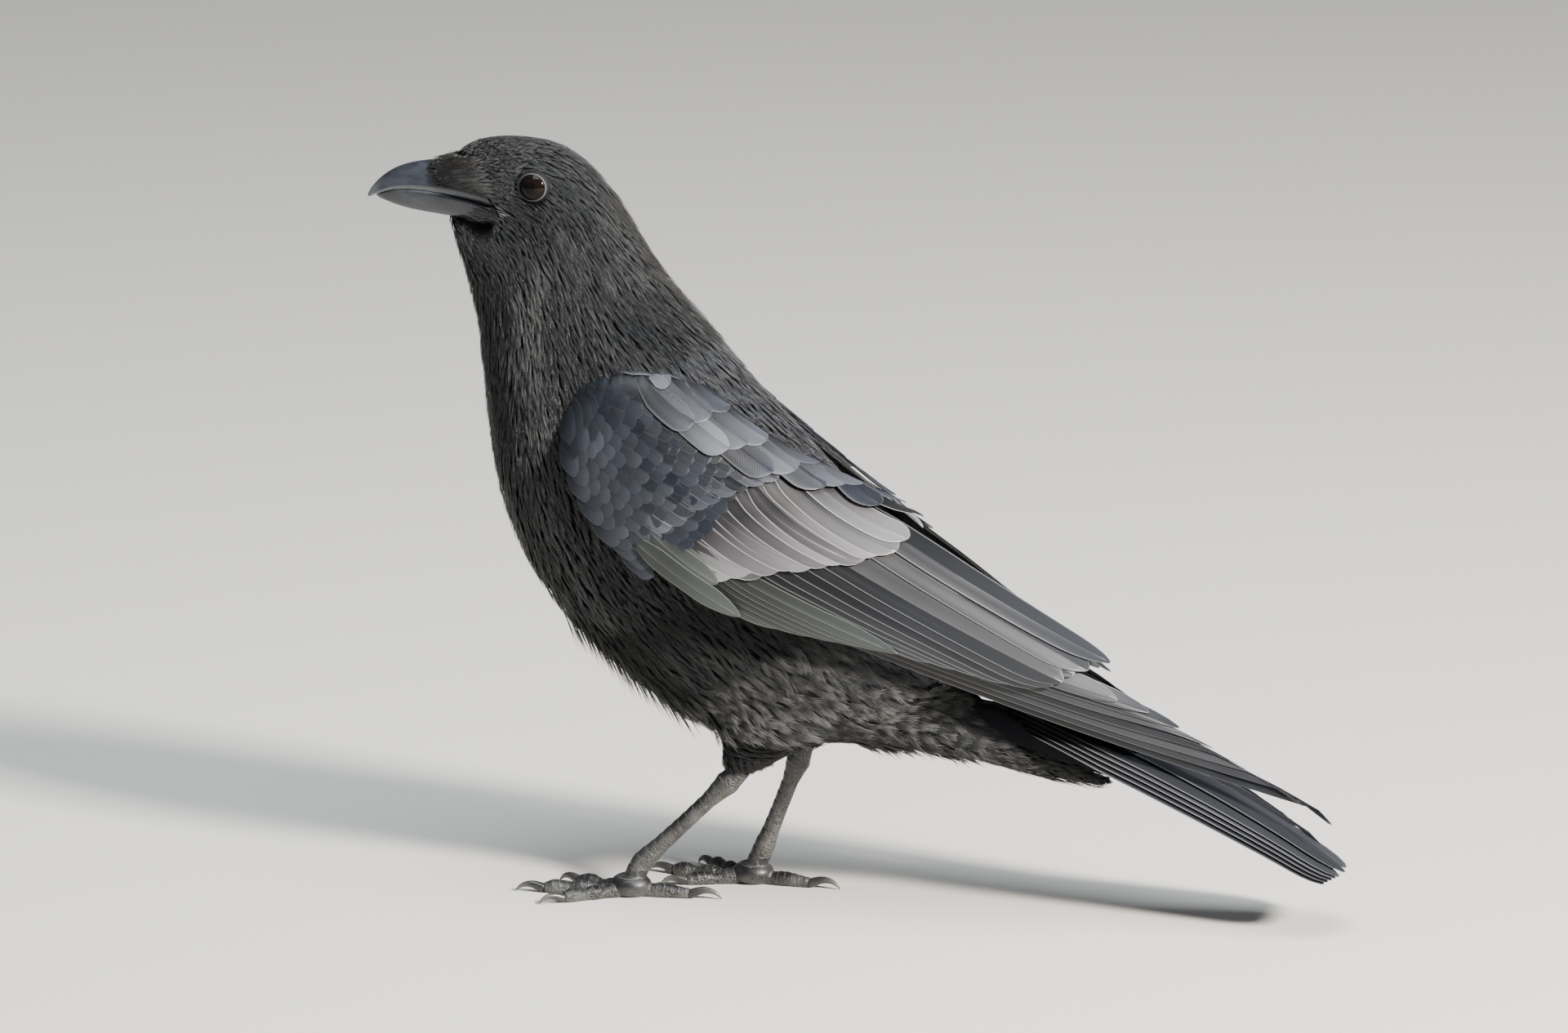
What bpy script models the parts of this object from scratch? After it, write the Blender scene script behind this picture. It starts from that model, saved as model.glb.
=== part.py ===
"""Carrion crow, walking, life size: the solid pieces of a museum model.

The bird faces -X with its left side towards -Y and stands on the plane z = 0.
Sizes are in millimetres in the tables and turned into metres by MM when a mesh is made.
Every feathered piece is the outer form of its feathers. The pieces keep GAP between them.
"""

import math
from collections import namedtuple

import bmesh
import bpy
from mathutils import Matrix, Vector

MM = 0.001                 # table units to metres
GAP = 0.3                  # clear space between touching pieces
ROUND = 20                 # points round a body section
THIGH_ROUND = 14           # points round a thigh
BODY_STEPS = 2             # rings laid between two body stations
FLOOR = 0.0                # the soles' level

EYE_RADIUS = 6.7
EYE_CENTRE = (-56.4, 11.6, 266.6)

WING_PITCH = 28.8          # how steeply the folded wing points down, degrees
WING_ROOT = (-38.0, 195.0)  # x, z of the wing's front, where its own axis starts
RIGHT_WING_DROOP = 2.8     # the right wing hangs this much lower, degrees
SHOULDER = (-15.0, 185.0)  # x, z about which the right wing hangs

TAIL_PAIRS = 6             # pairs of tail feathers
TAIL_VANE = 0.65           # thickness of one tail feather
TAIL_STACK = 1.1           # step down from one pair to the next
TAIL_STEP = 1.0            # how much shorter each pair is than the one above it
TAIL_BLADE = 0.5           # half width of the middle blade, in shares of the tail's half width
TAIL_FEATHER = 0.34        # half width of one side feather, in the same shares
TAIL_INNER = 0.36          # middle line of the innermost side feather
TAIL_OUTER = 0.66          # middle line of the outermost one
TAIL_ROOT_WIDTH = 0.55     # a tail feather's width at its root, as a share of its full width
TAIL_TIP = 14.0            # length of a tail feather's round tip
TAIL_TIP_WIDTH = 0.28      # width left at the very tip

TARSUS_RADIUS = 3.0        # bare shank, half its thickness
BALL = (8.2, 7.3, 5.0)     # half sizes of the ball of the foot
TOE_RADIUS = 3.2           # a toe at its base
TOE_START = 8.8            # clear of the ball of the foot
SOLE = 0.7                 # height of a toe's axis over the floor, in its own radii
PAD_BULGE = 0.25           # how far a toe's pads swell over its joints
CLAW_START = 1.0           # clear of the toe's rounded end
CLAW_RADIUS = 2.05         # a claw at its base
CLAW_TIP = 0.3             # and at its point
CLAW_JOINTS = 5
CLAW_RISE = 26.0           # a claw starts this steep, degrees
CLAW_CURL = 92.0           # and turns down through this angle

# ---------------------------------------------------------------- tables of sections

# A body section is the flat slice that holds its dorsal point, its ventral point and Y.
# half is half its width, full is the exponent of its superellipse (2 is an ellipse) and
# sag is how much wider it is towards the ventral side.
Section = namedtuple("Section", "dorsal ventral half full sag")

HEAD = (
    Section((-100.2, 273.6), (-95.0, 262.5), 7.6, 2.2, 0.0),    # front of the nasal tuft
    Section((-95.0, 274.4), (-92.2, 251.0), 9.0, 2.3, 0.0),     # chin
    Section((-91.4, 275.6), (-89.8, 245.5), 10.9, 2.3, 0.0),    # foot of the forehead
    Section((-86.6, 279.6), (-87.8, 238.5), 13.3, 2.3, 0.0),    # forehead
    Section((-79.0, 282.8), (-86.3, 231.5), 15.6, 2.2, 0.0),    # brow
    Section((-66.0, 284.1), (-85.0, 225.0), 17.3, 2.1, 0.0),    # crown, at the eyes
    Section((-52.5, 282.0), (-84.0, 218.5), 18.3, 2.1, 0.0),    # ear coverts
)
NECK = (
    Section((-41.5, 276.0), (-83.2, 212.0), 19.2, 2.1, 0.0),    # nape
    Section((-31.5, 265.4), (-82.2, 203.5), 21.0, 2.1, 0.0),
    Section((-20.5, 248.4), (-81.0, 193.5), 24.0, 2.1, 0.0),    # mid neck
    Section((-8.0, 230.0), (-79.7, 181.5), 29.0, 2.1, 0.05),    # foot of the neck
)
TRUNK = (
    Section((7.5, 212.8), (-77.8, 167.0), 35.0, 2.2, 0.05),     # shoulders
    Section((24.5, 193.6), (-74.0, 147.8), 38.5, 2.2, 0.05),    # breast
    Section((41.0, 176.8), (-66.2, 127.0), 39.0, 2.2, 0.05),
    Section((57.5, 160.0), (-52.6, 106.2), 37.5, 2.2, 0.05),    # back
    Section((74.0, 144.0), (-33.4, 87.8), 35.0, 2.2, 0.05),     # belly
    Section((91.0, 127.0), (-7.0, 68.5), 32.0, 2.2, 0.05),      # flanks
    Section((106.0, 111.0), (22.0, 61.0), 28.0, 2.2, 0.0),      # thighs
)
VENT = Section((120.0, 98.0), (52.0, 58.8), 23.0, 2.1, 0.0)
RUMP = (
    Section((102.0, 87.3), (53.0, 59.1), 19.0, 2.0, 0.0),       # under the root of the tail
    Section((112.0, 77.0), (85.0, 59.3), 16.5, 2.0, 0.0),
    Section((129.0, 66.5), (108.0, 56.8), 13.0, 2.0, 0.0),      # undertail coverts
    Section((146.0, 58.0), (133.0, 51.6), 9.0, 2.0, 0.0),
    Section((160.5, 51.0), (155.5, 48.6), 4.0, 2.0, 0.0),
)

# The bill: x, top edge, lower edge of one mandible, and half its width.
BILL_UPPER = (
    (-124.7, 259.4, 257.5, 0.45),
    (-122.6, 262.2, 258.4, 1.5),
    (-119.3, 265.7, 259.9, 2.6),
    (-114.0, 269.3, 261.6, 4.0),
    (-108.0, 271.5, 262.2, 5.1),
    (-101.0, 272.7, 262.1, 6.1),
    (-93.0, 273.7, 261.4, 7.1),
    (-84.0, 273.6, 260.0, 7.9),
    (-75.5, 271.0, 257.8, 8.2),
)
BILL_LOWER = (
    (-121.4, 258.9, 258.0, 0.7),
    (-118.6, 259.8, 257.0, 2.2),
    (-113.5, 261.4, 255.2, 3.9),
    (-107.0, 261.9, 253.7, 5.2),
    (-100.0, 261.8, 252.9, 6.2),
    (-92.0, 260.9, 252.2, 7.2),
    (-84.0, 259.7, 251.4, 8.0),
    (-75.5, 257.4, 250.2, 8.5),
)
# The bare corner of the bill, cut into the cheek: x, top and foot of the cut.
GAPE = (
    (-108.0, 263.4, 252.4), (-92.0, 265.6, 251.2), (-84.0, 264.4, 250.2), (-77.0, 262.2, 249.5),
    (-72.5, 257.8, 252.4),
)
GAPE_HALF_WIDTH = 22.0

# The folded wing, in its own axes: a runs back along it, c runs up across it. Each row is
# a, then c and sideways distance of the lower edge, then c and sideways distance of the upper.
WING = (
    (2.0, -7.0, 34.0, 5.0, 29.0),
    (8.0, -16.0, 39.5, 13.0, 26.0),
    (18.0, -26.0, 43.5, 20.5, 21.0),
    (38.0, -36.5, 46.0, 25.5, 15.0),
    (58.0, -41.8, 46.8, 25.3, 11.0),
    (80.0, -42.3, 46.8, 23.0, 8.0),
    (96.0, -38.0, 46.0, 21.5, 6.0),
    (110.0, -34.2, 44.3, 20.8, 5.0),
    (126.0, -31.0, 42.0, 20.8, 4.0),
    (153.0, -22.5, 37.5, 19.8, 3.0),
    (200.0, -10.0, 30.0, 15.2, 3.0),
    (231.0, -2.8, 24.5, 11.9, 4.5),
    (262.0, 1.6, 19.0, 9.8, 7.0),
    (296.0, 3.2, 15.5, 8.0, 9.0),
    (322.0, 3.4, 14.0, 6.4, 10.5),
)
WING_FULL = 2.3            # exponent of the wing's section

# A patch of folded feathers: how deep its outer face lies under the wing's outer face, its
# thickness, and rows of a with the c of its lower and upper edges.
Patch = namedtuple("Patch", "name depth thick along across rows")

PATCHES = (
    Patch("wing_arm", 2.2, 3.4, 7, 5, (
        (6.0, -9.5, 8.0), (20.0, -25.0, 20.0), (45.0, -35.5, 23.0), (66.0, -36.0, 21.0),
        (82.0, -30.0, 12.0))),
    Patch("wing_coverts", 0.0, 1.0, 11, 5, (
        (2.0, -7.0, 5.0), (8.0, -16.0, 12.5), (18.0, -26.0, 20.0), (40.0, -36.8, 21.0), (58.0, -41.2, 19.0),
        (80.0, -36.0, 18.0), (90.0, -22.0, 18.0), (101.0, -12.5, 18.5), (114.0, -3.5, 19.0),
        (127.0, 5.5, 19.4), (135.5, 12.5, 18.2))),
    Patch("scapulars", -2.0, 1.3, 8, 4, (
        (22.0, 19.0, 21.5), (35.0, 15.0, 25.8), (52.0, 12.5, 26.0), (70.0, 11.5, 25.0), (90.0, 14.5, 22.6),
        (110.0, 16.8, 21.0), (128.0, 18.6, 20.6))),
    Patch("alula", -1.2, 0.8, 5, 2, (
        (54.0, -40.0, -30.0), (68.0, -42.0, -29.5), (82.0, -42.2, -30.5), (91.0, -39.8, -33.5),
        (97.0, -37.6, -36.0))),
    Patch("primary_coverts", 1.7, 0.8, 6, 2, (
        (86.0, -37.8, -25.0), (100.0, -36.8, -24.0), (120.0, -32.0, -21.5), (138.0, -27.0, -19.5),
        (153.0, -22.2, -19.4))),
    Patch("secondaries", 1.7, 0.8, 9, 4, (
        (88.0, -24.3, 4.0), (104.0, -22.6, 5.0), (122.0, -20.6, 6.0), (140.0, -18.0, 6.8),
        (165.0, -14.0, 6.6),
        (190.0, -9.0, 5.4), (205.0, -6.2, 2.5), (211.0, -3.5, -0.5))),
    Patch("tertials", 1.7, 0.8, 8, 4, (
        (118.0, 7.2, 20.8), (135.0, 8.2, 20.6), (155.0, 8.2, 19.8), (180.0, 7.2, 17.6), (202.0, 5.8, 15.2),
        (215.0, 6.0, 13.2), (222.0, 8.0, 11.2))),
    Patch("primaries_inner", 2.9, 0.8, 8, 3, (
        (100.0, -32.0, -12.0), (130.0, -28.0, -6.0), (160.0, -17.5, 0.0), (200.0, -6.5, 5.5),
        (231.0, 0.5, 9.0),
        (248.0, 4.0, 9.6), (256.0, 6.4, 9.0))),
    Patch("primaries_mid", 4.0, 0.7, 9, 3, (
        (102.0, -33.0, -16.0), (130.0, -29.0, -12.0), (160.0, -19.3, -6.0), (200.0, -8.6, 2.0),
        (240.0, -0.5, 7.8),
        (275.0, 2.9, 8.2), (290.0, 4.3, 7.6), (297.0, 5.3, 6.9))),
    Patch("primaries_outer", 5.5, 0.7, 10, 2, (
        (104.0, -33.8, -22.0), (130.0, -30.0, -19.0), (160.0, -20.6, -12.0), (200.0, -9.8, -3.0),
        (240.0, -1.6, 4.6),
        (275.0, 2.2, 7.2), (300.0, 3.3, 7.3), (314.0, 4.0, 6.5), (321.0, 4.6, 5.6))),
)

AGAINST_BODY = ("wing_arm", "wing_coverts", "scapulars")    # patches that lie on the trunk

# The tail: x, height of its ridge, how far its edge lies out and down from the ridge.
TAIL = (
    (112.0, 85.5, 15.0, 4.0),
    (140.0, 78.0, 17.5, 6.5),
    (171.0, 66.0, 19.0, 7.5),
    (200.0, 52.0, 20.0, 6.5),
    (225.0, 37.5, 21.0, 3.5),
    (248.0, 22.5, 20.0, 1.0),
)

# A foot: direction of each toe from straight ahead (positive to the outside), length of the
# toe from the ball's middle, length of its claw and number of its pads.
Toe = namedtuple("Toe", "name turn length claw pads")
TOES = (
    Toe("inner", -30.0, 26.0, 10.5, 2),
    Toe("middle", 2.0, 33.5, 11.5, 3),
    Toe("outer", 34.0, 28.0, 10.5, 3),
    Toe("hind", 178.0, 23.0, 13.5, 1),
)
# The bare shank from ankle to foot joint: share of the way, thickness in TARSUS_RADIUS.
SHANK = ((0.03, 1.4), (0.08, 1.55), (0.16, 1.3), (0.28, 1.03), (0.55, 1.0), (0.8, 1.08), (0.93, 1.3))
SHANK_INTO_BALL = 0.65     # share of the way from the foot joint to the ball's middle
SHANK_END = 1.4            # its thickness there, in TARSUS_RADIUS

# A leg: side, ankle, foot joint where the shank ends, ball of the foot, heading of the foot
# (positive turns it outwards) and its feathered thigh: centres and half sizes along X and Y.
Leg = namedtuple("Leg", "side ankle joint ball heading thigh")
LEGS = (
    Leg("left", (19.5, -14.0, 48.3), (-17.0, -13.0, 12.5), (-21.0, -13.0, 4.0), 4.0, (
        ((38.0, -15.5, 80.0), 27.0, 13.0), ((36.5, -15.5, 70.0), 26.0, 12.0),
        ((33.0, -15.0, 62.0), 20.5, 10.0),
        ((25.5, -14.5, 55.5), 12.0, 7.4), ((21.5, -14.2, 51.0), 6.6, 5.4))),
    Leg("right", (38.5, 11.0, 52.0), (22.5, 16.0, 13.0), (18.5, 17.0, 4.0), 8.0, (
        ((46.0, 15.0, 80.0), 25.0, 13.0), ((44.5, 15.0, 70.0), 23.0, 12.0), ((42.0, 13.5, 62.5), 16.5, 9.6),
        ((39.8, 12.0, 57.5), 10.5, 7.2), ((39.0, 11.2, 54.6), 6.6, 5.4))),
)


# ---------------------------------------------------------------- small tools

def between(rows, key):
    """Read a table whose first column rises, with a smooth curve through its rows."""
    key = min(max(key, rows[0][0]), rows[-1][0])
    last = len(rows) - 1
    i = next(k for k in range(last) if key <= rows[k + 1][0])
    x0, x1 = rows[i][0], rows[i + 1][0]
    t = (key - x0) / (x1 - x0)
    values = []
    for column in range(1, len(rows[0])):
        y0, y1 = rows[i][column], rows[i + 1][column]
        before, after = rows[max(i - 1, 0)], rows[min(i + 2, last)]
        slope0 = (y1 - before[column]) / (x1 - before[0])
        slope1 = (after[column] - y0) / (after[0] - x0)
        h = x1 - x0
        values.append(
            (2 * t ** 3 - 3 * t ** 2 + 1) * y0 + (t ** 3 - 2 * t ** 2 + t) * h * slope0
            + (3 * t ** 2 - 2 * t ** 3) * y1 + (t ** 3 - t ** 2) * h * slope1)
    return values


def power(value, exponent):
    """Raise the size of a number to a power and keep its sign."""
    return math.copysign(abs(value) ** exponent, value)


def make_material(name, colour, roughness, metallic=0.0):
    """A plain Principled material."""
    material = bpy.data.materials.new(name)
    material.use_nodes = True
    shader = material.node_tree.nodes["Principled BSDF"]
    shader.inputs["Base Color"].default_value = (*colour, 1.0)
    shader.inputs["Roughness"].default_value = roughness
    shader.inputs["Metallic"].default_value = metallic
    return material


def add_mesh(name, bm, material, collection, smooth=40.0):
    """Close a bmesh into a named object with one material and smooth round faces."""
    bmesh.ops.recalc_face_normals(bm, faces=bm.faces)
    mesh = bpy.data.meshes.new(name)
    bm.to_mesh(mesh)
    bm.free()
    mesh.materials.append(material)
    mesh.shade_smooth()
    mesh.set_sharp_from_angle(angle=math.radians(smooth))
    piece = bpy.data.objects.new(name, mesh)
    collection.objects.link(piece)
    return piece


def add_sheet(name, grid, thick, material, collection, flip=False):
    """An open sheet through a grid of points, given in millimetres, thickened downwards."""
    bm = bmesh.new()
    verts = [[bm.verts.new(point * MM) for point in row] for row in grid]
    for one, two in zip(verts, verts[1:]):
        for k in range(len(one) - 1):
            corners = (one[k], two[k], two[k + 1], one[k + 1])
            bm.faces.new(corners[::-1] if flip else corners)
    mesh = bpy.data.meshes.new(name)
    bm.to_mesh(mesh)
    bm.free()
    mesh.materials.append(material)
    mesh.shade_smooth()
    piece = bpy.data.objects.new(name, mesh)
    collection.objects.link(piece)
    solid = piece.modifiers.new("thickness", "SOLIDIFY")
    solid.thickness = thick * MM
    solid.offset = -1.0
    return piece


def loft(name, rings, material, collection):
    """Skin a row of rings, given in millimetres, and close both ends."""
    bm = bmesh.new()
    loops = [[bm.verts.new(Vector(point) * MM) for point in ring] for ring in rings]
    for one, two in zip(loops, loops[1:]):
        for k in range(len(one)):
            following = (k + 1) % len(one)
            bm.faces.new((one[k], one[following], two[following], two[k]))
    bm.faces.new(loops[0])
    bm.faces.new(loops[-1])
    return add_mesh(name, bm, material, collection)


def tube(name, points, radii, material, collection, sides=2):
    """A round tapering piece along a poly curve, turned into a closed mesh on the floor."""
    curve = bpy.data.curves.new(name, "CURVE")
    curve.dimensions = "3D"
    curve.bevel_depth = MM
    curve.bevel_resolution = sides
    curve.use_fill_caps = True
    spline = curve.splines.new("POLY")
    spline.points.add(len(points) - 1)
    for knot, point, radius in zip(spline.points, points, radii):
        knot.co = (*(Vector(point) * MM), 1.0)
        knot.radius = radius
    guide = bpy.data.objects.new(name + "_guide", curve)
    collection.objects.link(guide)
    shape = guide.evaluated_get(bpy.context.evaluated_depsgraph_get())
    bm = bmesh.new()
    bm.from_mesh(bpy.data.meshes.new_from_object(shape))
    bpy.data.objects.remove(guide)
    bmesh.ops.remove_doubles(bm, verts=bm.verts, dist=1e-6)
    for vert in bm.verts:
        vert.co.z = max(vert.co.z, FLOOR)
    return add_mesh(name, bm, material, collection)


def cut(piece, cutter, solver="EXACT"):
    """Take a cutter's room out of a piece."""
    modifier = piece.modifiers.new(cutter.name, "BOOLEAN")
    modifier.operation = "DIFFERENCE"
    modifier.solver = solver
    modifier.object = cutter


def hide_cutter(cutter):
    """Show a cutter as a wire only."""
    cutter.hide_render = True
    cutter.display_type = "WIRE"


# ---------------------------------------------------------------- body

def blend(one, two, before, after, t):
    """A section between two, on the curve that also looks at the section on each side."""
    def curve(a, b, c, d):
        return 0.5 * (2 * b + (c - a) * t + (2 * a - 5 * b + 4 * c - d) * t ** 2
                      + (3 * b - a - 3 * c + d) * t ** 3)

    def pair(field):
        rows = [getattr(section, field) for section in (before, one, two, after)]
        return tuple(curve(*column) for column in zip(*rows))

    def single(field):
        return curve(*(getattr(section, field) for section in (before, one, two, after)))

    return Section(pair("dorsal"), pair("ventral"), single("half"), single("full"), single("sag"))


def ring_of(section, swell=0.0, shift=0.0):
    """Points round one section, swollen outwards and shifted along the body."""
    dorsal = Vector((section.dorsal[0], 0.0, section.dorsal[1]))
    ventral = Vector((section.ventral[0], 0.0, section.ventral[1]))
    middle = (dorsal + ventral) / 2
    up = (dorsal - ventral).normalized()
    backwards = Vector((0.0, 1.0, 0.0)).cross(up)
    high = (dorsal - ventral).length / 2 + swell
    wide = section.half + swell
    points = []
    for k in range(ROUND):
        angle = 2 * math.pi * k / ROUND
        rise = power(math.cos(angle), 2 / section.full)
        out = power(math.sin(angle), 2 / section.full) * (1 - section.sag * math.cos(angle))
        points.append(middle + up * rise * high + Vector((0.0, out * wide, 0.0)) + backwards * shift)
    return points


def body_rings(chain, first, last, swell=0.0, trim=GAP / 2, steps=BODY_STEPS):
    """Rings from one section of the chain to another, trimmed at both ends."""
    rings = []
    for k in range(first, last):
        before, after = chain[max(k - 1, 0)], chain[min(k + 2, len(chain) - 1)]
        for step in range(steps):
            section = blend(chain[k], chain[k + 1], before, after, step / steps)
            rings.append(ring_of(section, swell, trim if not rings else 0.0))
    rings.append(ring_of(chain[last], swell, -trim))
    return rings


def mandible_ring(row, upper, swell):
    """A flat-floored arch across one mandible; the lower mandible's arch hangs down."""
    x, top, foot, half = row
    points = []
    arch = ROUND // 2
    for k in range(arch + 1):
        angle = math.pi * k / arch
        out = power(math.cos(angle), 0.8) * (half + swell)
        rise = math.sin(angle) ** 0.9
        if upper:
            height = (foot - swell) + (top - foot + 2 * swell) * rise
        else:
            height = (top + swell) - (top - foot + 2 * swell) * rise
        points.append((x, out, height))
    return points


def make_mandible(name, rows, upper, material, collection, swell=0.0):
    """One half of the bill, pointed in front and blunt inside the head."""
    first, last = rows[0][0], rows[-1][0]
    steps = 9
    rings = []
    for k in range(steps + 1):
        x = first + (last - first) * (k / steps) ** 1.25
        rings.append(mandible_ring((x, *between(rows, x)), upper, swell))
    if swell:
        x = last + 2 * swell
        rings[-1] = mandible_ring((x, *between(rows, last)), upper, swell)
    return loft(name, rings, material, collection)


def make_head_and_body(looks, crow, cutters):
    """Head, neck, trunk and rump as one run of sections, with room for bill and eyes."""
    chain = HEAD + NECK + TRUNK + (VENT,)
    to_neck = len(HEAD)
    to_trunk = to_neck + len(NECK)
    last = len(chain) - 1
    head = loft("head", body_rings(chain, 0, to_neck, 0.0), looks["feather"], crow)
    loft("neck", body_rings(chain, to_neck, to_trunk), looks["feather"], crow)
    loft("trunk", body_rings(chain, to_trunk, last), looks["feather"], crow)
    loft("rump", body_rings(RUMP, 0, len(RUMP) - 1, steps=1), looks["feather"], crow)

    make_mandible("bill_upper", BILL_UPPER, True, looks["horn"], crow)
    make_mandible("bill_lower", BILL_LOWER, False, looks["horn"], crow)
    room_upper = make_mandible("room_bill_upper", BILL_UPPER, True, looks["horn"], cutters, GAP)
    room_lower = make_mandible("room_bill_lower", BILL_LOWER, False, looks["horn"], cutters, GAP)
    gape = []
    for x, top, foot in GAPE:
        gape.append([(x, -GAPE_HALF_WIDTH, foot), (x, GAPE_HALF_WIDTH, foot),
                     (x, GAPE_HALF_WIDTH, top), (x, -GAPE_HALF_WIDTH, top)])
    room_gape = loft("room_gape", gape, looks["horn"], cutters)
    for cutter in (room_upper, room_lower, room_gape):
        hide_cutter(cutter)
        cut(head, cutter, "MANIFOLD")    # their walls nearly coincide, which EXACT gets wrong

    for side, sign in (("left", -1), ("right", 1)):
        x, y, z = EYE_CENTRE
        for name, radius, collection in (("eye_" + side, EYE_RADIUS, crow),
                                         ("room_eye_" + side, EYE_RADIUS + GAP, cutters)):
            bm = bmesh.new()
            place = Matrix.Translation(Vector((x, sign * y, z)) * MM) @ Matrix.Rotation(math.pi / 2, 4, "X")
            bmesh.ops.create_uvsphere(bm, u_segments=14, v_segments=8, radius=radius * MM, matrix=place)
            ball = add_mesh(name, bm, looks["eye"], collection)
        hide_cutter(ball)
        cut(head, ball, "MANIFOLD")
    return chain, to_neck, last


# ---------------------------------------------------------------- wings

def wing_point(a, c, depth):
    """A place on the left wing: a and c in the wing's axes, depth under its outer face."""
    def face(a_here, turn):
        low_c, low_y, high_c, high_y = between(WING, a_here)
        rise = power(math.cos(turn), 2 / WING_FULL)
        out = power(math.sin(turn), 2 / WING_FULL)
        return Vector((a_here, high_y + (low_y - high_y) * out, low_c + (high_c - low_c) * rise))

    low_c, _, high_c, _ = between(WING, a)
    share = min(max((c - low_c) / (high_c - low_c), 0.0), 1.0)
    turn = math.acos(min(share ** (WING_FULL / 2), 1.0))
    turn = min(max(turn, 0.03), math.pi / 2 - 0.03)
    small = 0.02
    here = face(a, turn)
    along = face(a + 1.0, turn) - face(a - 1.0, turn)
    down = face(a, turn + small) - face(a, turn - small)
    outwards = along.cross(down).normalized()
    if outwards.y < 0:
        outwards = -outwards
    here = Vector((a, here.y, low_c + (high_c - low_c) * share)) - outwards * depth
    pitch = math.radians(WING_PITCH)
    x = WING_ROOT[0] + here.x * math.cos(pitch) + here.z * math.sin(pitch)
    z = WING_ROOT[1] - here.x * math.sin(pitch) + here.z * math.cos(pitch)
    return Vector((x, -here.y, z))


def make_patch(patch, side, material, collection):
    """One layer of folded feathers: an open sheet on the wing's form, then its thickness."""
    first, last = patch.rows[0][0], patch.rows[-1][0]
    grid = []
    for i in range(patch.along + 1):
        a = first + (last - first) * i / patch.along
        low, high = between(patch.rows, a)
        low_c, _, high_c, _ = between(WING, a)
        turns = []
        for edge in (low, high):
            share = min(max((edge - low_c) / (high_c - low_c), 0.0), 1.0)
            turns.append(math.acos(share ** (WING_FULL / 2)))
        row = []
        for j in range(patch.across + 1):
            turn = turns[0] + (turns[1] - turns[0]) * j / patch.across
            c = low_c + (high_c - low_c) * power(math.cos(turn), 2 / WING_FULL)
            row.append(wing_point(a, c, patch.depth))
        grid.append(row)
    if side == "right":
        droop = Matrix.Rotation(math.radians(RIGHT_WING_DROOP), 4, "Y")
        pivot = Vector((SHOULDER[0], 0.0, SHOULDER[1]))
        grid = [[pivot + droop @ (Vector((p.x, -p.y, p.z)) - pivot) for p in row] for row in grid]
    return add_sheet(f"{patch.name}_{side}", grid, patch.thick, material, collection, side == "right")


# ---------------------------------------------------------------- tail

def tail_point(x, across, depth):
    """A place on the tail: across runs from -1 to 1 over the roof, depth is under it."""
    ridge, out, down = between(TAIL, x)
    spread = abs(across)
    drop = down * (0.35 * spread + 0.65 * spread ** 2)
    return Vector((x, out * across, ridge - drop - depth))


def make_tail_feather(name, centre, half, tip, depth, material, collection):
    """One tail feather, parallel-sided with a round tip, as a sheet with thickness."""
    steps = 8
    start = TAIL[0][0]
    rows = []
    for i in range(steps + 1):
        share = i / steps
        x = start + (tip - start) * (1 - (1 - share) ** 1.5)    # rows crowd towards the tip
        near_tip = min(max((tip - x) / TAIL_TIP, 0.0), 1.0)
        blade = TAIL_ROOT_WIDTH + (1 - TAIL_ROOT_WIDTH) * math.sqrt(share)
        width = half * max(blade * math.sqrt(near_tip), TAIL_TIP_WIDTH)
        rows.append([tail_point(x, centre + width * side, depth) for side in (-1.0, 0.0, 1.0)])
    return add_sheet(name, rows, TAIL_VANE, material, collection)


def make_tail(looks, crow):
    """The middle pair as one blade on top, and five feathers stepping down on each side."""
    end = TAIL[-1][0]
    make_tail_feather("tail_middle", 0.0, TAIL_BLADE, end, 0.0, looks["flight"], crow)
    for pair in range(1, TAIL_PAIRS):
        centre = TAIL_INNER + (TAIL_OUTER - TAIL_INNER) * pair / (TAIL_PAIRS - 1)
        for side, sign in (("left", -1), ("right", 1)):
            make_tail_feather(f"tail_{side}_{pair}", sign * centre, TAIL_FEATHER, end - pair * TAIL_STEP,
                              pair * TAIL_STACK, looks["flight"], crow)


# ---------------------------------------------------------------- legs

def make_thigh(leg, looks, crow):
    """The feathered thigh, a soft cone that ends just above the ankle."""
    rings = []
    for (x, y, z), long, wide in leg.thigh:
        ring = []
        for k in range(THIGH_ROUND):
            angle = 2 * math.pi * k / THIGH_ROUND
            ring.append((x + long * math.cos(angle), y + wide * math.sin(angle), z))
        rings.append(ring)
    return loft("thigh_" + leg.side, rings, looks["feather"], crow)


def make_shank(leg, looks, crow, cutters):
    """The bare shank with its knobbly ankle, joined to the ball of the foot."""
    ankle, joint, ball = Vector(leg.ankle), Vector(leg.joint), Vector(leg.ball)
    points = []
    radii = []
    for share, scale in SHANK:
        points.append(ankle.lerp(joint, share))
        radii.append(TARSUS_RADIUS * scale)
    points.append(joint.lerp(ball, SHANK_INTO_BALL))
    radii.append(TARSUS_RADIUS * SHANK_END)
    shank = tube("shank_" + leg.side, points, radii, looks["leg"], crow)
    bm = bmesh.new()
    form = Matrix.Translation(ball * MM) @ Matrix.Diagonal((*BALL, 1.0))
    bmesh.ops.create_uvsphere(bm, u_segments=12, v_segments=7, radius=MM, matrix=form)
    for vert in bm.verts:
        vert.co.z = max(vert.co.z, FLOOR)
    pad = add_mesh("ball_" + leg.side, bm, looks["leg"], cutters)
    hide_cutter(pad)
    joined = shank.modifiers.new("ball_of_the_foot", "BOOLEAN")
    joined.operation = "UNION"
    joined.object = pad


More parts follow.
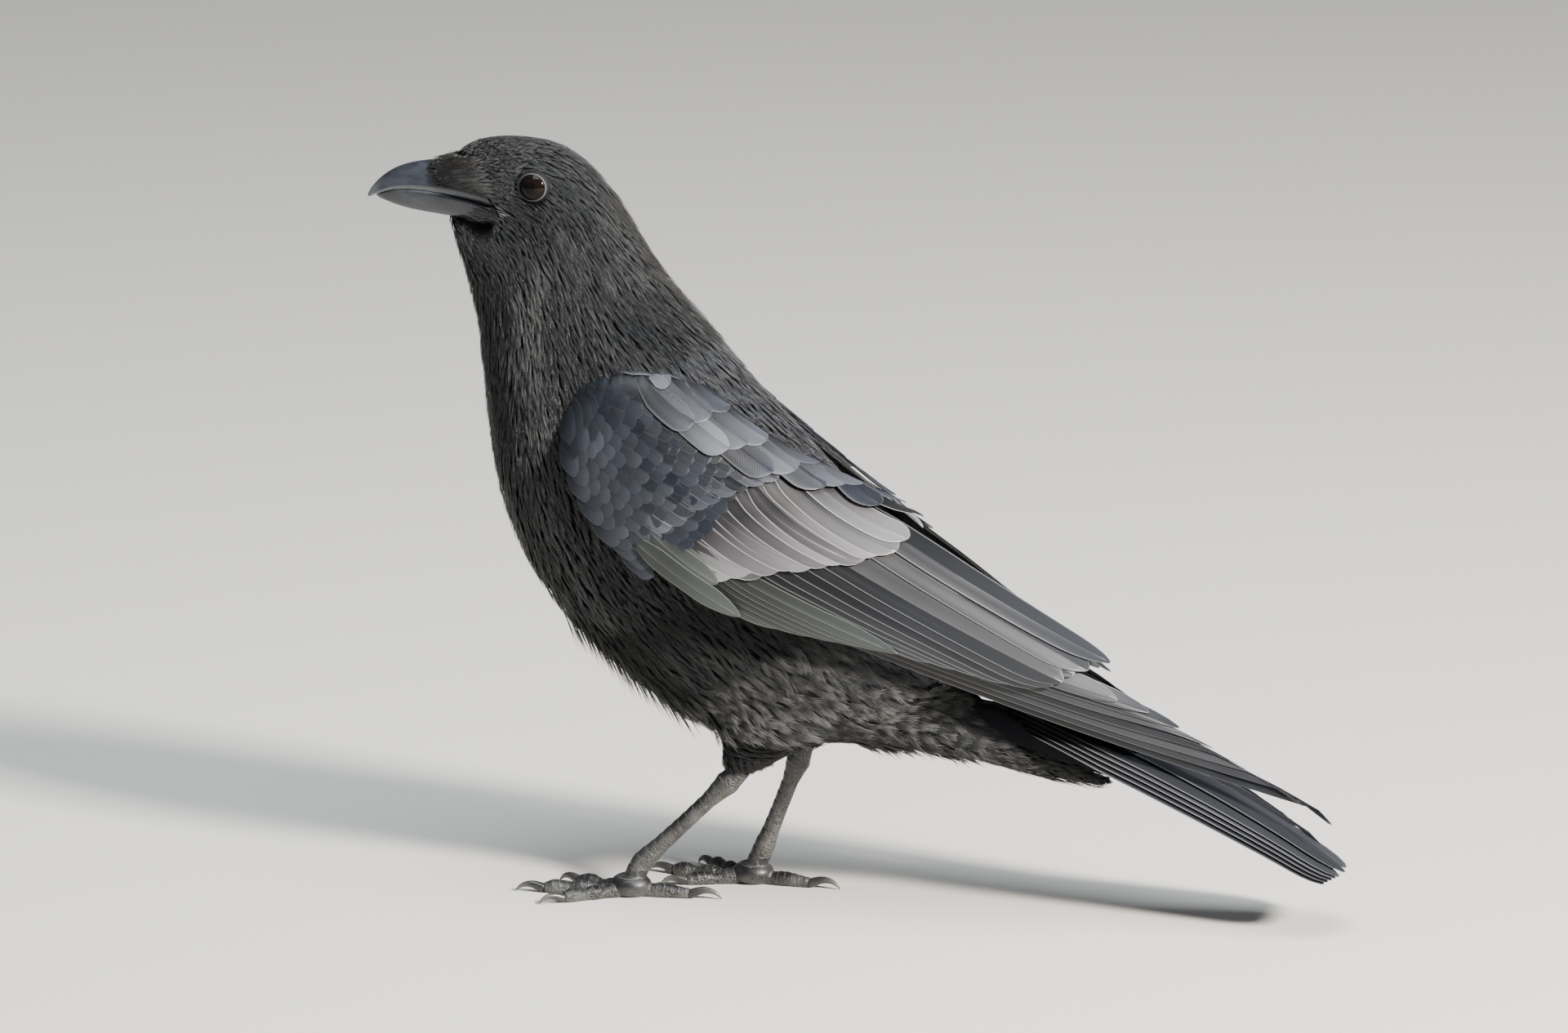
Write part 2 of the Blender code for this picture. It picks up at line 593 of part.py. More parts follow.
def make_toe(leg, toe, looks, crow):
    """A padded toe along the floor and its curved claw."""
    sign = -1 if leg.side == "left" else 1
    heading = math.radians(180.0) + sign * -math.radians(leg.heading + toe.turn)
    ahead = Vector((math.cos(heading), math.sin(heading), 0.0))
    ball = Vector((leg.ball[0], leg.ball[1], 0.0))
    points = []
    radii = []
    steps = 3 * toe.pads + 1
    for k in range(steps + 1):
        share = k / steps
        distance = TOE_START + (toe.length - TOE_START) * share
        bulge = 1.0 + PAD_BULGE * (math.sin(math.pi * toe.pads * share) ** 2 - 1.0)
        radius = TOE_RADIUS * (1.0 - 0.1 * share) * bulge
        points.append(ball + ahead * distance + Vector((0.0, 0.0, radius * SOLE)))
        radii.append(radius)
    name = f"toe_{leg.side}_{toe.name}"
    tube(name, points, radii, looks["leg"], crow)

    start = points[-1] + ahead * CLAW_START
    claw_points = [start]
    claw_radii = [CLAW_RADIUS]
    step = toe.claw / CLAW_JOINTS
    for k in range(1, CLAW_JOINTS + 1):
        share = k / CLAW_JOINTS
        turn = math.radians(CLAW_RISE - CLAW_CURL * share) if k > 1 else 0.0    # the base stays level
        rise = Vector((0.0, 0.0, step * math.sin(turn)))
        claw_points.append(claw_points[-1] + ahead * step * math.cos(turn) + rise)
        claw_radii.append(CLAW_TIP + (CLAW_RADIUS - CLAW_TIP) * (1 - share) ** 0.8)
    lowest = min(point.z - radius for point, radius in zip(claw_points, claw_radii))
    for k, point in enumerate(claw_points):
        point.z -= min(lowest, 0.0) * k / CLAW_JOINTS
    tube(f"claw_{leg.side}_{toe.name}", claw_points, claw_radii, looks["claw"], crow)


# ---------------------------------------------------------------- the bird

def main():
    for thing in list(bpy.data.objects):
        bpy.data.objects.remove(thing)
    crow = bpy.data.collections.new("carrion_crow")
    cutters = bpy.data.collections.new("cutters")
    bpy.context.scene.collection.children.link(crow)
    bpy.context.scene.collection.children.link(cutters)
    looks = {
        "feather": make_material("body_feathers", (0.012, 0.012, 0.014), 0.55),
        "flight": make_material("flight_feathers", (0.018, 0.018, 0.022), 0.45),
        "horn": make_material("bill_horn", (0.035, 0.037, 0.042), 0.4),
        "eye": make_material("eye_ball", (0.01, 0.008, 0.007), 0.08),
        "leg": make_material("leg_scales", (0.03, 0.03, 0.032), 0.5),
        "claw": make_material("claw_horn", (0.03, 0.028, 0.027), 0.35),
    }
    chain, to_neck, last = make_head_and_body(looks, crow, cutters)
    room_body = loft("room_body", body_rings(chain, to_neck, last, GAP, -GAP), looks["feather"], cutters)
    room_rump = loft("room_rump", body_rings(RUMP, 0, len(RUMP) - 1, GAP, -GAP, 1), looks["feather"], cutters)
    hide_cutter(room_body)
    hide_cutter(room_rump)
    for side in ("left", "right"):
        for patch in PATCHES:
            soft = patch.name in AGAINST_BODY
            piece = make_patch(patch, side, looks["feather" if soft else "flight"], crow)
            if soft:
                cut(piece, room_body)
    make_tail(looks, crow)

    for leg in LEGS:
        thigh = make_thigh(leg, looks, crow)
        cut(thigh, room_body)
        cut(thigh, room_rump)
        make_shank(leg, looks, crow, cutters)
        for toe in TOES:
            make_toe(leg, toe, looks, crow)
    middle = (BILL_UPPER[0][0] + TAIL[-1][0]) / 2
    for thing in [*crow.objects, *cutters.objects]:
        thing.location.x -= middle * MM


main()
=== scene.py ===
# %% [markdown]
# # A walking carrion crow
# The shape, size and stance of this bird are settled by a fixed frame of plain solids. This
# lesson dresses them: one skin under everything, a coat of small feathers that follows the
# lie of the plumage, wings and tail of single feathers, a bill and claws of horn, wet eyes
# and scaled legs. A sculptor could model the outline by hand. Here each layer is placed by
# rule instead, so that it overlaps the next one as it does on the bird.

# %% Load the frame
import math

import bmesh
import bpy
import numpy as np
from mathutils import Matrix, Vector
from mathutils.bvhtree import BVHTree


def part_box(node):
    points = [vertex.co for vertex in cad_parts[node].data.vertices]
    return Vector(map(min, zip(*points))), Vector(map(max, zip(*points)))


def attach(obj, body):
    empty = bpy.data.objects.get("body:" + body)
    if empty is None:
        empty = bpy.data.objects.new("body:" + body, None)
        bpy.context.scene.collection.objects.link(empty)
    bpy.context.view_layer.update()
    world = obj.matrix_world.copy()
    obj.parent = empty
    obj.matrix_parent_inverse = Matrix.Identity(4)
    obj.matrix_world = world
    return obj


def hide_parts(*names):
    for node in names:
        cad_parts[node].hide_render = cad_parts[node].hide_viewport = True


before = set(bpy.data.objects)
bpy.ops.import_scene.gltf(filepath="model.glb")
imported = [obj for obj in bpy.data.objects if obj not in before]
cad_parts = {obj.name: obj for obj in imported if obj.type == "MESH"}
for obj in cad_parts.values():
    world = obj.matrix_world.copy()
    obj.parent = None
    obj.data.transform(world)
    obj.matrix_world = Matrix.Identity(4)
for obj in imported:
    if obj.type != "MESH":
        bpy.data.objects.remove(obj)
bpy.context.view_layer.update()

MM = 0.001

# %% [markdown]
# ## One set of measures
# The bird's own measures below are in millimetres, with x growing towards the tail from the
# middle of the breast. The frame puts the origin under the middle of the whole bird instead.
# The tip of the bill is known in both, so one difference carries every measure across, and
# nothing has to be fitted by eye.

# %% Bird measures to frame metres
BILL_TIP_X = -124.7
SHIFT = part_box("bill_upper")[0].x / MM - BILL_TIP_X


def place(points):
    """Bird millimetres to frame metres, for one point or an array of them."""
    moved = np.array(points, dtype=float)
    moved[..., 0] += SHIFT
    return moved * MM


print("shift", round(SHIFT, 2), "mm")

# %% [markdown]
# ## Camera and light
# The bird is seen from its left side, a little from behind and above, through a long lens
# that flattens it. Three soft lamps do the work of a low sun and an open sky: the strong key
# comes from the tail's side so that the breast's front falls dark, as black feathers show
# their form only by what they reflect. The plain pale floor throws some of that light back up
# under the bird.

# %% Camera, lamps, floor
CAMERA_TURN = math.radians(14.0)
CAMERA_RISE = math.radians(12.0)
CAMERA_AWAY = 4.0
VIEW_WIDTH = 0.5856
AIM_ASIDE, AIM_UP = 0.03355, 0.1395    # where the lens looks, from under the middle of the breast

sight = Vector((math.sin(CAMERA_TURN) * math.cos(CAMERA_RISE),
    -math.cos(CAMERA_TURN) * math.cos(CAMERA_RISE), math.sin(CAMERA_RISE)))
rightwards = Vector((math.cos(CAMERA_TURN), math.sin(CAMERA_TURN), 0.0))
upwards = sight.cross(rightwards)
aim = Vector((SHIFT * MM, 0.0, 0.0)) + rightwards * AIM_ASIDE + upwards * AIM_UP

lens = bpy.data.cameras.new("camera")
lens.sensor_width = 36.0
lens.lens = lens.sensor_width * CAMERA_AWAY / VIEW_WIDTH
camera = bpy.data.objects.new("camera", lens)
camera.location = aim + sight * CAMERA_AWAY
camera.rotation_euler = sight.to_track_quat("Z", "Y").to_euler()
bpy.context.scene.collection.objects.link(camera)
bpy.context.scene.camera = camera


def hang_lamp(name, turn, rise, away, size, watts, colour):
    """A soft square lamp that looks at the bird from a turn and a rise in degrees."""
    data = bpy.data.lights.new(name, "AREA")
    data.size = size
    data.energy = watts
    data.color = colour
    lamp = bpy.data.objects.new(name, data)
    turn, rise = math.radians(turn), math.radians(rise)
    ray = Vector((math.sin(turn) * math.cos(rise), -math.cos(turn) * math.cos(rise), math.sin(rise)))
    lamp.location = Vector((0.0, 0.0, 0.14)) + ray * away
    lamp.rotation_euler = ray.to_track_quat("Z", "Y").to_euler()
    bpy.context.scene.collection.objects.link(lamp)


hang_lamp("key", 60.0, 30.0, 2.6, 0.4, 290.0, (1.0, 0.955, 0.89))
hang_lamp("sky", 10.0, 80.0, 2.4, 1.6, 92.0, (0.86, 0.93, 1.0))
hang_lamp("fill", -48.0, 24.0, 3.0, 2.2, 5.0, (0.9, 0.95, 1.0))

world = bpy.data.worlds.new("studio")
world.use_nodes = True
world.node_tree.nodes["Background"].inputs["Color"].default_value = (0.84, 0.88, 0.95, 1.0)
world.node_tree.nodes["Background"].inputs["Strength"].default_value = 0.22
bpy.context.scene.world = world

FLOOR_REACH = 12.0
bm = bmesh.new()
bmesh.ops.create_grid(bm, x_segments=1, y_segments=1, size=FLOOR_REACH)
floor_mesh = bpy.data.meshes.new("floor")
bm.to_mesh(floor_mesh)
bm.free()
floor = bpy.data.objects.new("floor", floor_mesh)
bpy.context.scene.collection.objects.link(floor)
paint = bpy.data.materials.new("pale_floor")
paint.use_nodes = True
paint.node_tree.nodes["Principled BSDF"].inputs["Base Color"].default_value = (0.58, 0.56, 0.525, 1.0)
paint.node_tree.nodes["Principled BSDF"].inputs["Roughness"].default_value = 0.9
floor_mesh.materials.append(paint)
print("camera and three lamps placed")

# %% [markdown]
# ## Which way the plumage lies
# Feathers lie like roof tiles, from the bill back to the tail. Slices through the body, each
# from its back edge to its belly edge, give that direction at any point: where a point lies
# between two slices says how far along the bird it is, and the run of the two edges there
# says which way a feather points. The same slices give every feather a place on a flat map of
# the skin, unrolled like a sleeve.

# %% Slices from bill to tail
SLICES = (    # back edge x, z and belly edge x, z, in bird millimetres
    (-100.2, 273.6, -95.0, 262.5), (-95.0, 274.4, -92.2, 251.0), (-91.4, 275.6, -89.8, 245.5),
    (-86.6, 279.6, -87.8, 238.5), (-79.0, 282.8, -86.3, 231.5), (-66.0, 284.1, -85.0, 225.0),
    (-52.5, 282.0, -84.0, 218.5), (-41.5, 276.0, -83.2, 212.0), (-31.5, 265.4, -82.2, 203.5),
    (-20.5, 248.4, -81.0, 193.5), (-8.0, 230.0, -79.7, 181.5), (7.5, 212.8, -77.8, 167.0),
    (24.5, 193.6, -74.0, 147.8), (41.0, 176.8, -66.2, 127.0), (57.5, 160.0, -52.6, 106.2),
    (74.0, 144.0, -33.4, 87.8), (91.0, 127.0, -7.0, 68.5), (106.0, 111.0, 22.0, 61.0),
    (120.0, 98.0, 52.0, 58.8), (138.0, 84.0, 85.0, 58.0), (160.0, 72.0, 108.0, 55.0),
    (185.0, 60.0, 133.0, 50.5), (210.0, 47.0, 156.0, 47.0),
)
CROWN, NAPE, SHOULDERS, BELLY, VENT = 5.5, 7.0, 11.0, 15.0, 17.5    # stations, counted in slices


def fine_run(rows, steps=20):
    """Rows of a table resampled finely and softened, with the row number of each sample."""
    rows = np.array(rows, dtype=float)
    stops = np.linspace(0, len(rows) - 1, (len(rows) - 1) * steps + 1)
    run = np.stack([np.interp(stops, np.arange(len(rows)), column) for column in rows.T], axis=1)
    for _ in range(steps):
        run[1:-1] = (run[:-2] + run[2:]) / 2
    return stops, run


slice_stops, slice_run = fine_run(SLICES)
slice_flow = np.gradient(slice_run, axis=0)


def unit(vectors):
    """Vectors of length one."""
    return vectors / np.maximum(np.linalg.norm(vectors, axis=-1, keepdims=True), 1e-12)


PAST_EDGE = 1.25    # how far past its belly edge a slice still counts, in its own lengths
BODY_HALF = 20.0    # about half the body's breadth, for the turn round it
AT_ONCE = 4000    # points read together, to save memory


def read_lie(points):
    """Station along the bird, share from back to belly, turn round it, and lie at each point."""
    station = np.empty(len(points))
    share = np.empty(len(points))
    lie = np.zeros((len(points), 3))
    back, belly = slice_run[:, :2], slice_run[:, 2:]
    across = belly - back
    for start in range(0, len(points), AT_ONCE):
        some = slice(start, start + AT_ONCE)
        x, z = points[some, 0:1], points[some, 2:3]
        behind = across[:, 0] * (z - back[:, 1]) - across[:, 1] * (x - back[:, 0])
        reach = (across[:, 0] * (x - back[:, 0]) + across[:, 1] * (z - back[:, 1])) / (across ** 2).sum(1)
        behind = np.where(reach > PAST_EDGE, np.abs(behind), behind)
        at = np.clip(np.argmax(behind <= 0, axis=1), 1, len(slice_stops) - 1)
        at[behind.min(axis=1) > 0] = len(slice_stops) - 1
        rows = np.arange(len(at))
        ahead, after = behind[rows, at - 1], behind[rows, at]
        mix = np.clip(ahead / np.where(ahead == after, 1.0, ahead - after), 0, 1)
        station[some] = slice_stops[at - 1] + mix * (slice_stops[at] - slice_stops[at - 1])
        share[some] = np.clip(reach[rows, at], 0, 1)
        flow = slice_flow[at]
        lie[some, 0] = (1 - share[some]) * flow[:, 0] + share[some] * flow[:, 2]
        lie[some, 2] = (1 - share[some]) * flow[:, 1] + share[some] * flow[:, 3]
    turn = np.arctan2(points[:, 1] / BODY_HALF, 1 - 2 * share)
    return station, share, turn, unit(lie)


print(len(SLICES), "slices read as", len(slice_run))

# %% [markdown]
# ## The skin
# A bird has one skin from bill to toes. The frame's fleshy parts are separate solids with
# hair-thin gaps, so copies of them are swollen a little, joined, and remeshed in small even
# cubes, which melts every gap away. The eyes and the bill join in too, so that the skin
# closes behind them. Then each point moves inwards by the depth of the coat there: half a
# millimetre on the face, three on the breast, and less along the back, where feathers lie
# flattest. Under the bill's rear the throat is drawn in, so that the horn stands clear of it.

# %% Melt the fleshy parts into one skin
FLESH = ("head", "neck", "trunk", "rump", "thigh_left", "thigh_right", "wing_arm_left", "wing_arm_right")
HARD = ("eye_left", "eye_right", "bill_upper", "bill_lower")
SWELL = 0.4
CUBE = 1.5
COAT_DEPTH = (    # station and depth
    (0.0, 0.5), (3.0, 0.7), (5.0, 1.1), (7.0, 1.6), (10.0, 2.4), (13.0, 3.0), (16.0, 3.0), (22.0, 2.0),
)


def merged(name):
    """A bmesh of one frame node with its loose triangles joined."""
    part = bmesh.new()
    part.from_mesh(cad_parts[name].data)
    bmesh.ops.remove_doubles(part, verts=part.verts, dist=1e-6)
    part.normal_update()
    return part


def finished_mesh(bm, name):
    """Write a bmesh into a new mesh and free it."""
    mesh = bpy.data.meshes.new(name)
    bm.to_mesh(mesh)
    bm.free()
    return mesh


def through_modifiers(mesh, *settings):
    """The mesh that a row of modifiers, each a type and its values, leaves of another."""
    thing = bpy.data.objects.new("work", mesh)
    bpy.context.scene.collection.objects.link(thing)
    for kind, values in settings:
        modifier = thing.modifiers.new(kind, kind)
        for key, value in values.items():
            setattr(modifier, key, value)
    shape = thing.evaluated_get(bpy.context.evaluated_depsgraph_get())
    result = bpy.data.meshes.new_from_object(shape)
    bpy.data.objects.remove(thing)
    return result


bm = bmesh.new()
for node in FLESH + HARD:
    part = merged(node)
    if node in FLESH:
        for vert in part.verts:
            vert.co += vert.normal * SWELL * MM
    bm.from_mesh(finished_mesh(part, node))
melted = through_modifiers(finished_mesh(bm, "flesh"), ("REMESH", {"mode": "VOXEL", "voxel_size": CUBE * MM}))

bm = bmesh.new()
bm.from_mesh(melted)
for _ in range(4):
    bmesh.ops.smooth_vert(bm, verts=bm.verts, factor=0.5, use_axis_x=True, use_axis_y=True, use_axis_z=True)
bm.normal_update()
places = np.array([vert.co for vert in bm.verts]) / MM - (SHIFT, 0, 0)
stations, shares = read_lie(places)[:2]
thin_back = 0.55 * np.clip((0.4 - shares) / 0.3, 0, 1) * np.clip((stations - 5.0) / 2.0, 0, 1)
depths = SWELL + np.interp(stations, *np.array(COAT_DEPTH).T) * (1 - thin_back)
THIGH_FOOT, THIGH_TOP = 50.0, 72.0
leg_share = np.clip((places[:, 2] - THIGH_FOOT) / (THIGH_TOP - THIGH_FOOT), 0, 1)
depths = np.minimum(depths, SWELL + 0.5 + 2.5 * leg_share)
BARE_HORN = (    # x, z of the horn's lower edge
    (-92.0, 252.3), (-84.0, 251.3), (-75.5, 249.5), (-72.5, 249.2),
)
BARE_TOP = 257.5


def on_bare_horn(spots, over=0.0):
    """Whether points lie beside the lower bill's rear, where the horn is bare."""
    edge = np.interp(spots[:, 0], *np.array(BARE_HORN).T) + over
    ahead, behind = BARE_HORN[0][0], BARE_HORN[-1][0]
    return (spots[:, 0] > ahead) & (spots[:, 0] < behind) & (spots[:, 2] > edge) & (spots[:, 2] < BARE_TOP)


THROAT_SLOPE = 7.0    # how far below the horn's edge the throat reaches its full width
edge = np.interp(places[:, 0], *np.array(BARE_HORN).T)
below = edge - places[:, 2]
room = np.interp(below, (0.0, THROAT_SLOPE), (6.4, 15.5))
room += np.interp(places[:, 0], (-79.0, -72.5), (0.0, 7.0))
room[(below < 0) | (below > THROAT_SLOPE) | (places[:, 0] > BARE_HORN[-1][0])] = 100.0
for vert, depth, bare, most in zip(bm.verts, depths, on_bare_horn(places), room * MM):
    vert.co -= vert.normal * depth * MM
    vert.co.y = max(min(vert.co.y, most), -most)
    if bare:
        vert.co.y *= 0.45
for _ in range(2):
    bmesh.ops.smooth_vert(bm, verts=bm.verts, factor=0.5, use_axis_x=True, use_axis_y=True, use_axis_z=True)
bmesh.ops.recalc_face_normals(bm, faces=bm.faces)
skin_tree = BVHTree.FromBMesh(bm)
skin_mesh = finished_mesh(bm, "skin")
skin_mesh.shade_smooth()
skin = bpy.data.objects.new("skin", skin_mesh)
bpy.context.scene.collection.objects.link(skin)
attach(skin, "root")
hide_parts(*FLESH)
print("skin:", len(skin_mesh.vertices), "points")

# %% [markdown]
# ## Shader pieces shared by all feathers
# A vane is a comb of barbs that leave the shaft at a slant, so light runs along fine slanted
# lines. Feathers also differ a little from each other, and their thin rims and tips are
# painted pale, partly as wear and partly as a painted highlight where they would catch the
# light; towards its root each feather is painted darker, a painted shade where the one above
# covers it. Both effects are node groups here, made once and given other values in each
# material. They read attributes that every feather carries: tone, a number of its own, into
# which some zones paint light and shade; rim, 0 inside and 1 at the edge; along, 0 at the
# root and 1 at the tip; barb, millimetres along the comb.

# %% Node groups for barbs and for plumage colour


def new_group(name, inputs, outputs):
    """An empty shader node group with its named inputs, each a default, and its outputs."""
    group = bpy.data.node_groups.new(name, "ShaderNodeTree")
    for label, kind, value in inputs:
        socket = group.interface.new_socket(label, in_out="INPUT", socket_type=kind)
        socket.default_value = value
    for label, kind in outputs:
        group.interface.new_socket(label, in_out="OUTPUT", socket_type=kind)
    return group, group.nodes.new("NodeGroupInput"), group.nodes.new("NodeGroupOutput")


def add_node(tree, kind, values=None, links=None):
    """A node with socket values set by input, and links from other sockets."""
    node = tree.nodes.new(kind)
    for key, value in (values or {}).items():
        if isinstance(key, str) and hasattr(node, key):
            setattr(node, key, value)
        else:
            node.inputs[key].default_value = value
    for key, source in (links or {}).items():
        tree.links.new(source, node.inputs[key])
    return node


def math_node(tree, operation, *terms):
    """A math node's result; a term is a number or a socket."""
    node = tree.nodes.new("ShaderNodeMath")
    node.operation = operation
    for socket, term in zip(node.inputs, terms):
        if isinstance(term, (int, float)):
            socket.default_value = term
        else:
            tree.links.new(term, socket)
    return node.outputs[0]


def mix_colour(tree, share, one, two):
    """Two colours mixed by a share; a colour is a triple or a socket."""
    node = tree.nodes.new("ShaderNodeMix")
    node.data_type = "RGBA"
    for socket, value in ((node.inputs[0], share), (node.inputs[6], one), (node.inputs[7], two)):
        if isinstance(value, tuple):
            socket.default_value = (*value, 1.0)
        elif isinstance(value, (int, float)):
            socket.default_value = value
        else:
            tree.links.new(value, socket)
    return node.outputs[2]


def attribute(tree, name):
    """A value that the mesh carries."""
    return add_node(tree, "ShaderNodeAttribute", {"attribute_name": name}).outputs["Fac"]


def make_barbs_group():
    """Slanted ridges across a vane, with a little unevenness."""
    group, given, made = new_group("Barbs", (
        ("Barb", "NodeSocketFloat", 0.0), ("Pitch mm", "NodeSocketFloat", 0.6),
        ("Uneven", "NodeSocketFloat", 0.3)), (("Height", "NodeSocketFloat"),))
    where = add_node(group, "ShaderNodeTexCoord").outputs["Object"]
    noise = add_node(group, "ShaderNodeTexNoise", {"Scale": 900.0, "Detail": 2.0}, {"Vector": where})
    turn = math_node(group, "DIVIDE", given.outputs["Barb"], given.outputs["Pitch mm"])
    shaken = math_node(group, "MULTIPLY_ADD", noise.outputs["Fac"], given.outputs["Uneven"], turn)
    ridge = math_node(group, "SINE", math_node(group, "MULTIPLY", shaken, 2 * math.pi))
    rough = math_node(group, "MULTIPLY_ADD", noise.outputs["Fac"], 0.8,
        math_node(group, "MULTIPLY", ridge, 0.35))
    group.links.new(rough, made.inputs["Height"])
    return group


def make_plumage_group():
    """Feather colour and roughness from its tone, its rim and its length: painted shade towards the root, and
    a painted highlight, partly wear, on the rim and the tips of high-toned feathers.
    """
    group, given, made = new_group("Plumage", (
        ("Deep", "NodeSocketColor", (0.010, 0.010, 0.011, 1.0)),
        ("Lit", "NodeSocketColor", (0.030, 0.030, 0.034, 1.0)),
        ("Rim", "NodeSocketColor", (0.055, 0.055, 0.06, 1.0)),
        ("Sheen", "NodeSocketColor", (0.016, 0.022, 0.040, 1.0)),
        ("Rim share", "NodeSocketFloat", 0.5), ("Rim start", "NodeSocketFloat", 0.75),
        ("Tip share", "NodeSocketFloat", 0.4), ("Painted root shade", "NodeSocketFloat", 0.5),
        ("Patch", "NodeSocketFloat", 60.0), ("Rough low", "NodeSocketFloat", 0.36),
        ("Rough high", "NodeSocketFloat", 0.6)),
        (("Colour", "NodeSocketColor"), ("Roughness", "NodeSocketFloat")))
    tone, rim, along = (attribute(group, name) for name in ("tone", "rim", "along"))
    where = add_node(group, "ShaderNodeTexCoord").outputs["Object"]
    cloud = add_node(group, "ShaderNodeTexNoise", {"Detail": 2.0}, {"Vector": where})
    group.links.new(given.outputs["Patch"], cloud.inputs["Scale"])
    body = mix_colour(group, tone, given.outputs["Deep"], given.outputs["Lit"])
    hue = add_node(group, "ShaderNodeMapRange", {1: 0.42, 2: 0.62}, {0: cloud.outputs["Fac"]}).outputs[0]
    body = mix_colour(group, hue, body, mix_colour(group, tone, given.outputs["Sheen"], given.outputs["Lit"]))
    # Painted shade: each feather darkens towards its root, where the one above covers it.
    depth = add_node(group, "ShaderNodeMapRange", {1: 0.9, 2: 0.3}, {0: along}).outputs[0]
    depth = math_node(group, "MULTIPLY", depth, given.outputs["Painted root shade"])
    body = mix_colour(group, depth, body, (0.0012, 0.0012, 0.0013))
    # Painted highlight, partly wear: tips of high-toned feathers and rims turn towards the pale rim colour.
    tip = add_node(group, "ShaderNodeMapRange", {1: 0.4, 2: 0.95}, {0: along}).outputs[0]
    bright = add_node(group, "ShaderNodeMapRange", {1: 0.35, 2: 0.95}, {0: tone}).outputs[0]
    tip = math_node(group, "MULTIPLY", math_node(group, "MULTIPLY", tip, bright), given.outputs["Tip share"])
    edge = add_node(group, "ShaderNodeMapRange", {2: 1.0}, {0: rim, 1: given.outputs["Rim start"]}).outputs[0]
    edge = math_node(group, "MULTIPLY", edge, given.outputs["Rim share"])
    lightest = math_node(group, "MAXIMUM", tip, edge)
    group.links.new(mix_colour(group, lightest, body, given.outputs["Rim"]), made.inputs["Colour"])
    spread = add_node(group, "ShaderNodeMapRange", {}, {0: tone})
    group.links.new(given.outputs["Rough low"], spread.inputs[3])
    group.links.new(given.outputs["Rough high"], spread.inputs[4])
    group.links.new(spread.outputs[0], made.inputs["Roughness"])
    return group


SHEEN_TINT = (0.75, 0.85, 1.0, 1.0)
BARBS = make_barbs_group()
PLUMAGE = make_plumage_group()


def feather_material(name, deep, lit, rim, sheen, rim_share=0.5, rim_start=0.75, tip_share=0.4, patch=60.0,
        painted_root_shade=0.5, rough=(0.36, 0.6), pitch=0.6, bump=0.3, uneven=0.3, gloss=0.35, sheen_weight=0.06):
    """A feather material: the two groups set to one part of the plumage."""
    material = bpy.data.materials.new(name)
    material.use_nodes = True
    tree = material.node_tree
    shader = tree.nodes["Principled BSDF"]
    plumage = add_node(tree, "ShaderNodeGroup", {"node_tree": PLUMAGE})
    for key, value in (("Deep", (*deep, 1)), ("Lit", (*lit, 1)), ("Rim", (*rim, 1)), ("Sheen", (*sheen, 1)),
            ("Rim share", rim_share), ("Rim start", rim_start), ("Tip share", tip_share),
            ("Painted root shade", painted_root_shade), ("Patch", patch), ("Rough low", rough[0]),
            ("Rough high", rough[1])):
        plumage.inputs[key].default_value = value
    barbs = add_node(tree, "ShaderNodeGroup", {"node_tree": BARBS})
    barbs.inputs["Pitch mm"].default_value = pitch
    barbs.inputs["Uneven"].default_value = uneven
    tree.links.new(attribute(tree, "barb"), barbs.inputs["Barb"])
    relief = add_node(tree, "ShaderNodeBump", {"Strength": bump, "Distance": 0.0002},
        {"Height": barbs.outputs["Height"]})
    tree.links.new(plumage.outputs["Colour"], shader.inputs["Base Color"])
    tree.links.new(plumage.outputs["Roughness"], shader.inputs["Roughness"])
    tree.links.new(relief.outputs["Normal"], shader.inputs["Normal"])
    shader.inputs["Specular IOR Level"].default_value = gloss
    shader.inputs["Sheen Weight"].default_value = sheen_weight
    shader.inputs["Sheen Roughness"].default_value = 0.35
    shader.inputs["Sheen Tint"].default_value = SHEEN_TINT
    return material


# In each look below, rim is the pale colour of rims and tips, partly wear and partly painted highlight, and
# painted_root_shade sets the painted shade near each root.
SKIN_LOOK = feather_material("dark_skin", (0.0025, 0.0025, 0.0025), (0.004, 0.004, 0.004),
    (0.004, 0.004, 0.004), (0.004, 0.004, 0.005), tip_share=0.0, rough=(0.85, 0.95), bump=0.1, gloss=0.05,
    sheen_weight=0.0)
FACE_LOOK = feather_material("face_feathers", (0.0022, 0.0022, 0.0024), (0.0135, 0.0138, 0.0150),
    (0.13, 0.137, 0.148), (0.006, 0.0075, 0.010), tip_share=0.5, patch=90.0, painted_root_shade=0.8, bump=0.3,
    rough=(0.24, 0.42), gloss=0.75)
# The ear coverts' pale, slightly green colours are a painted sheen.
EAR_LOOK = feather_material("ear_coverts", (0.005, 0.0058, 0.0053), (0.070, 0.078, 0.071),
    (0.36, 0.39, 0.36), (0.012, 0.016, 0.014), tip_share=0.6, patch=90.0, painted_root_shade=0.8, bump=0.2,
    rough=(0.24, 0.38), gloss=0.85)
NECK_LOOK = feather_material("neck_hackles", (0.0015, 0.0015, 0.0016), (0.010, 0.0098, 0.0098),
    (0.25, 0.25, 0.25), (0.005, 0.0055, 0.007), tip_share=0.62, patch=45.0, painted_root_shade=0.85,
    rough=(0.26, 0.46), bump=0.3, gloss=0.6)
BACK_LOOK = feather_material("back_feathers", (0.006, 0.006, 0.0075), (0.031, 0.032, 0.038),
    (0.13, 0.133, 0.15), (0.011, 0.014, 0.024), tip_share=0.35, rough=(0.28, 0.46), bump=0.2, gloss=0.7)
BELLY_LOOK = feather_material("belly_feathers", (0.0016, 0.0016, 0.0015), (0.008, 0.0078, 0.0074),
    (0.07, 0.068, 0.064), (0.004, 0.004, 0.0045), tip_share=0.4, patch=40.0, painted_root_shade=0.8,
    rough=(0.38, 0.6), bump=0.3, gloss=0.4)
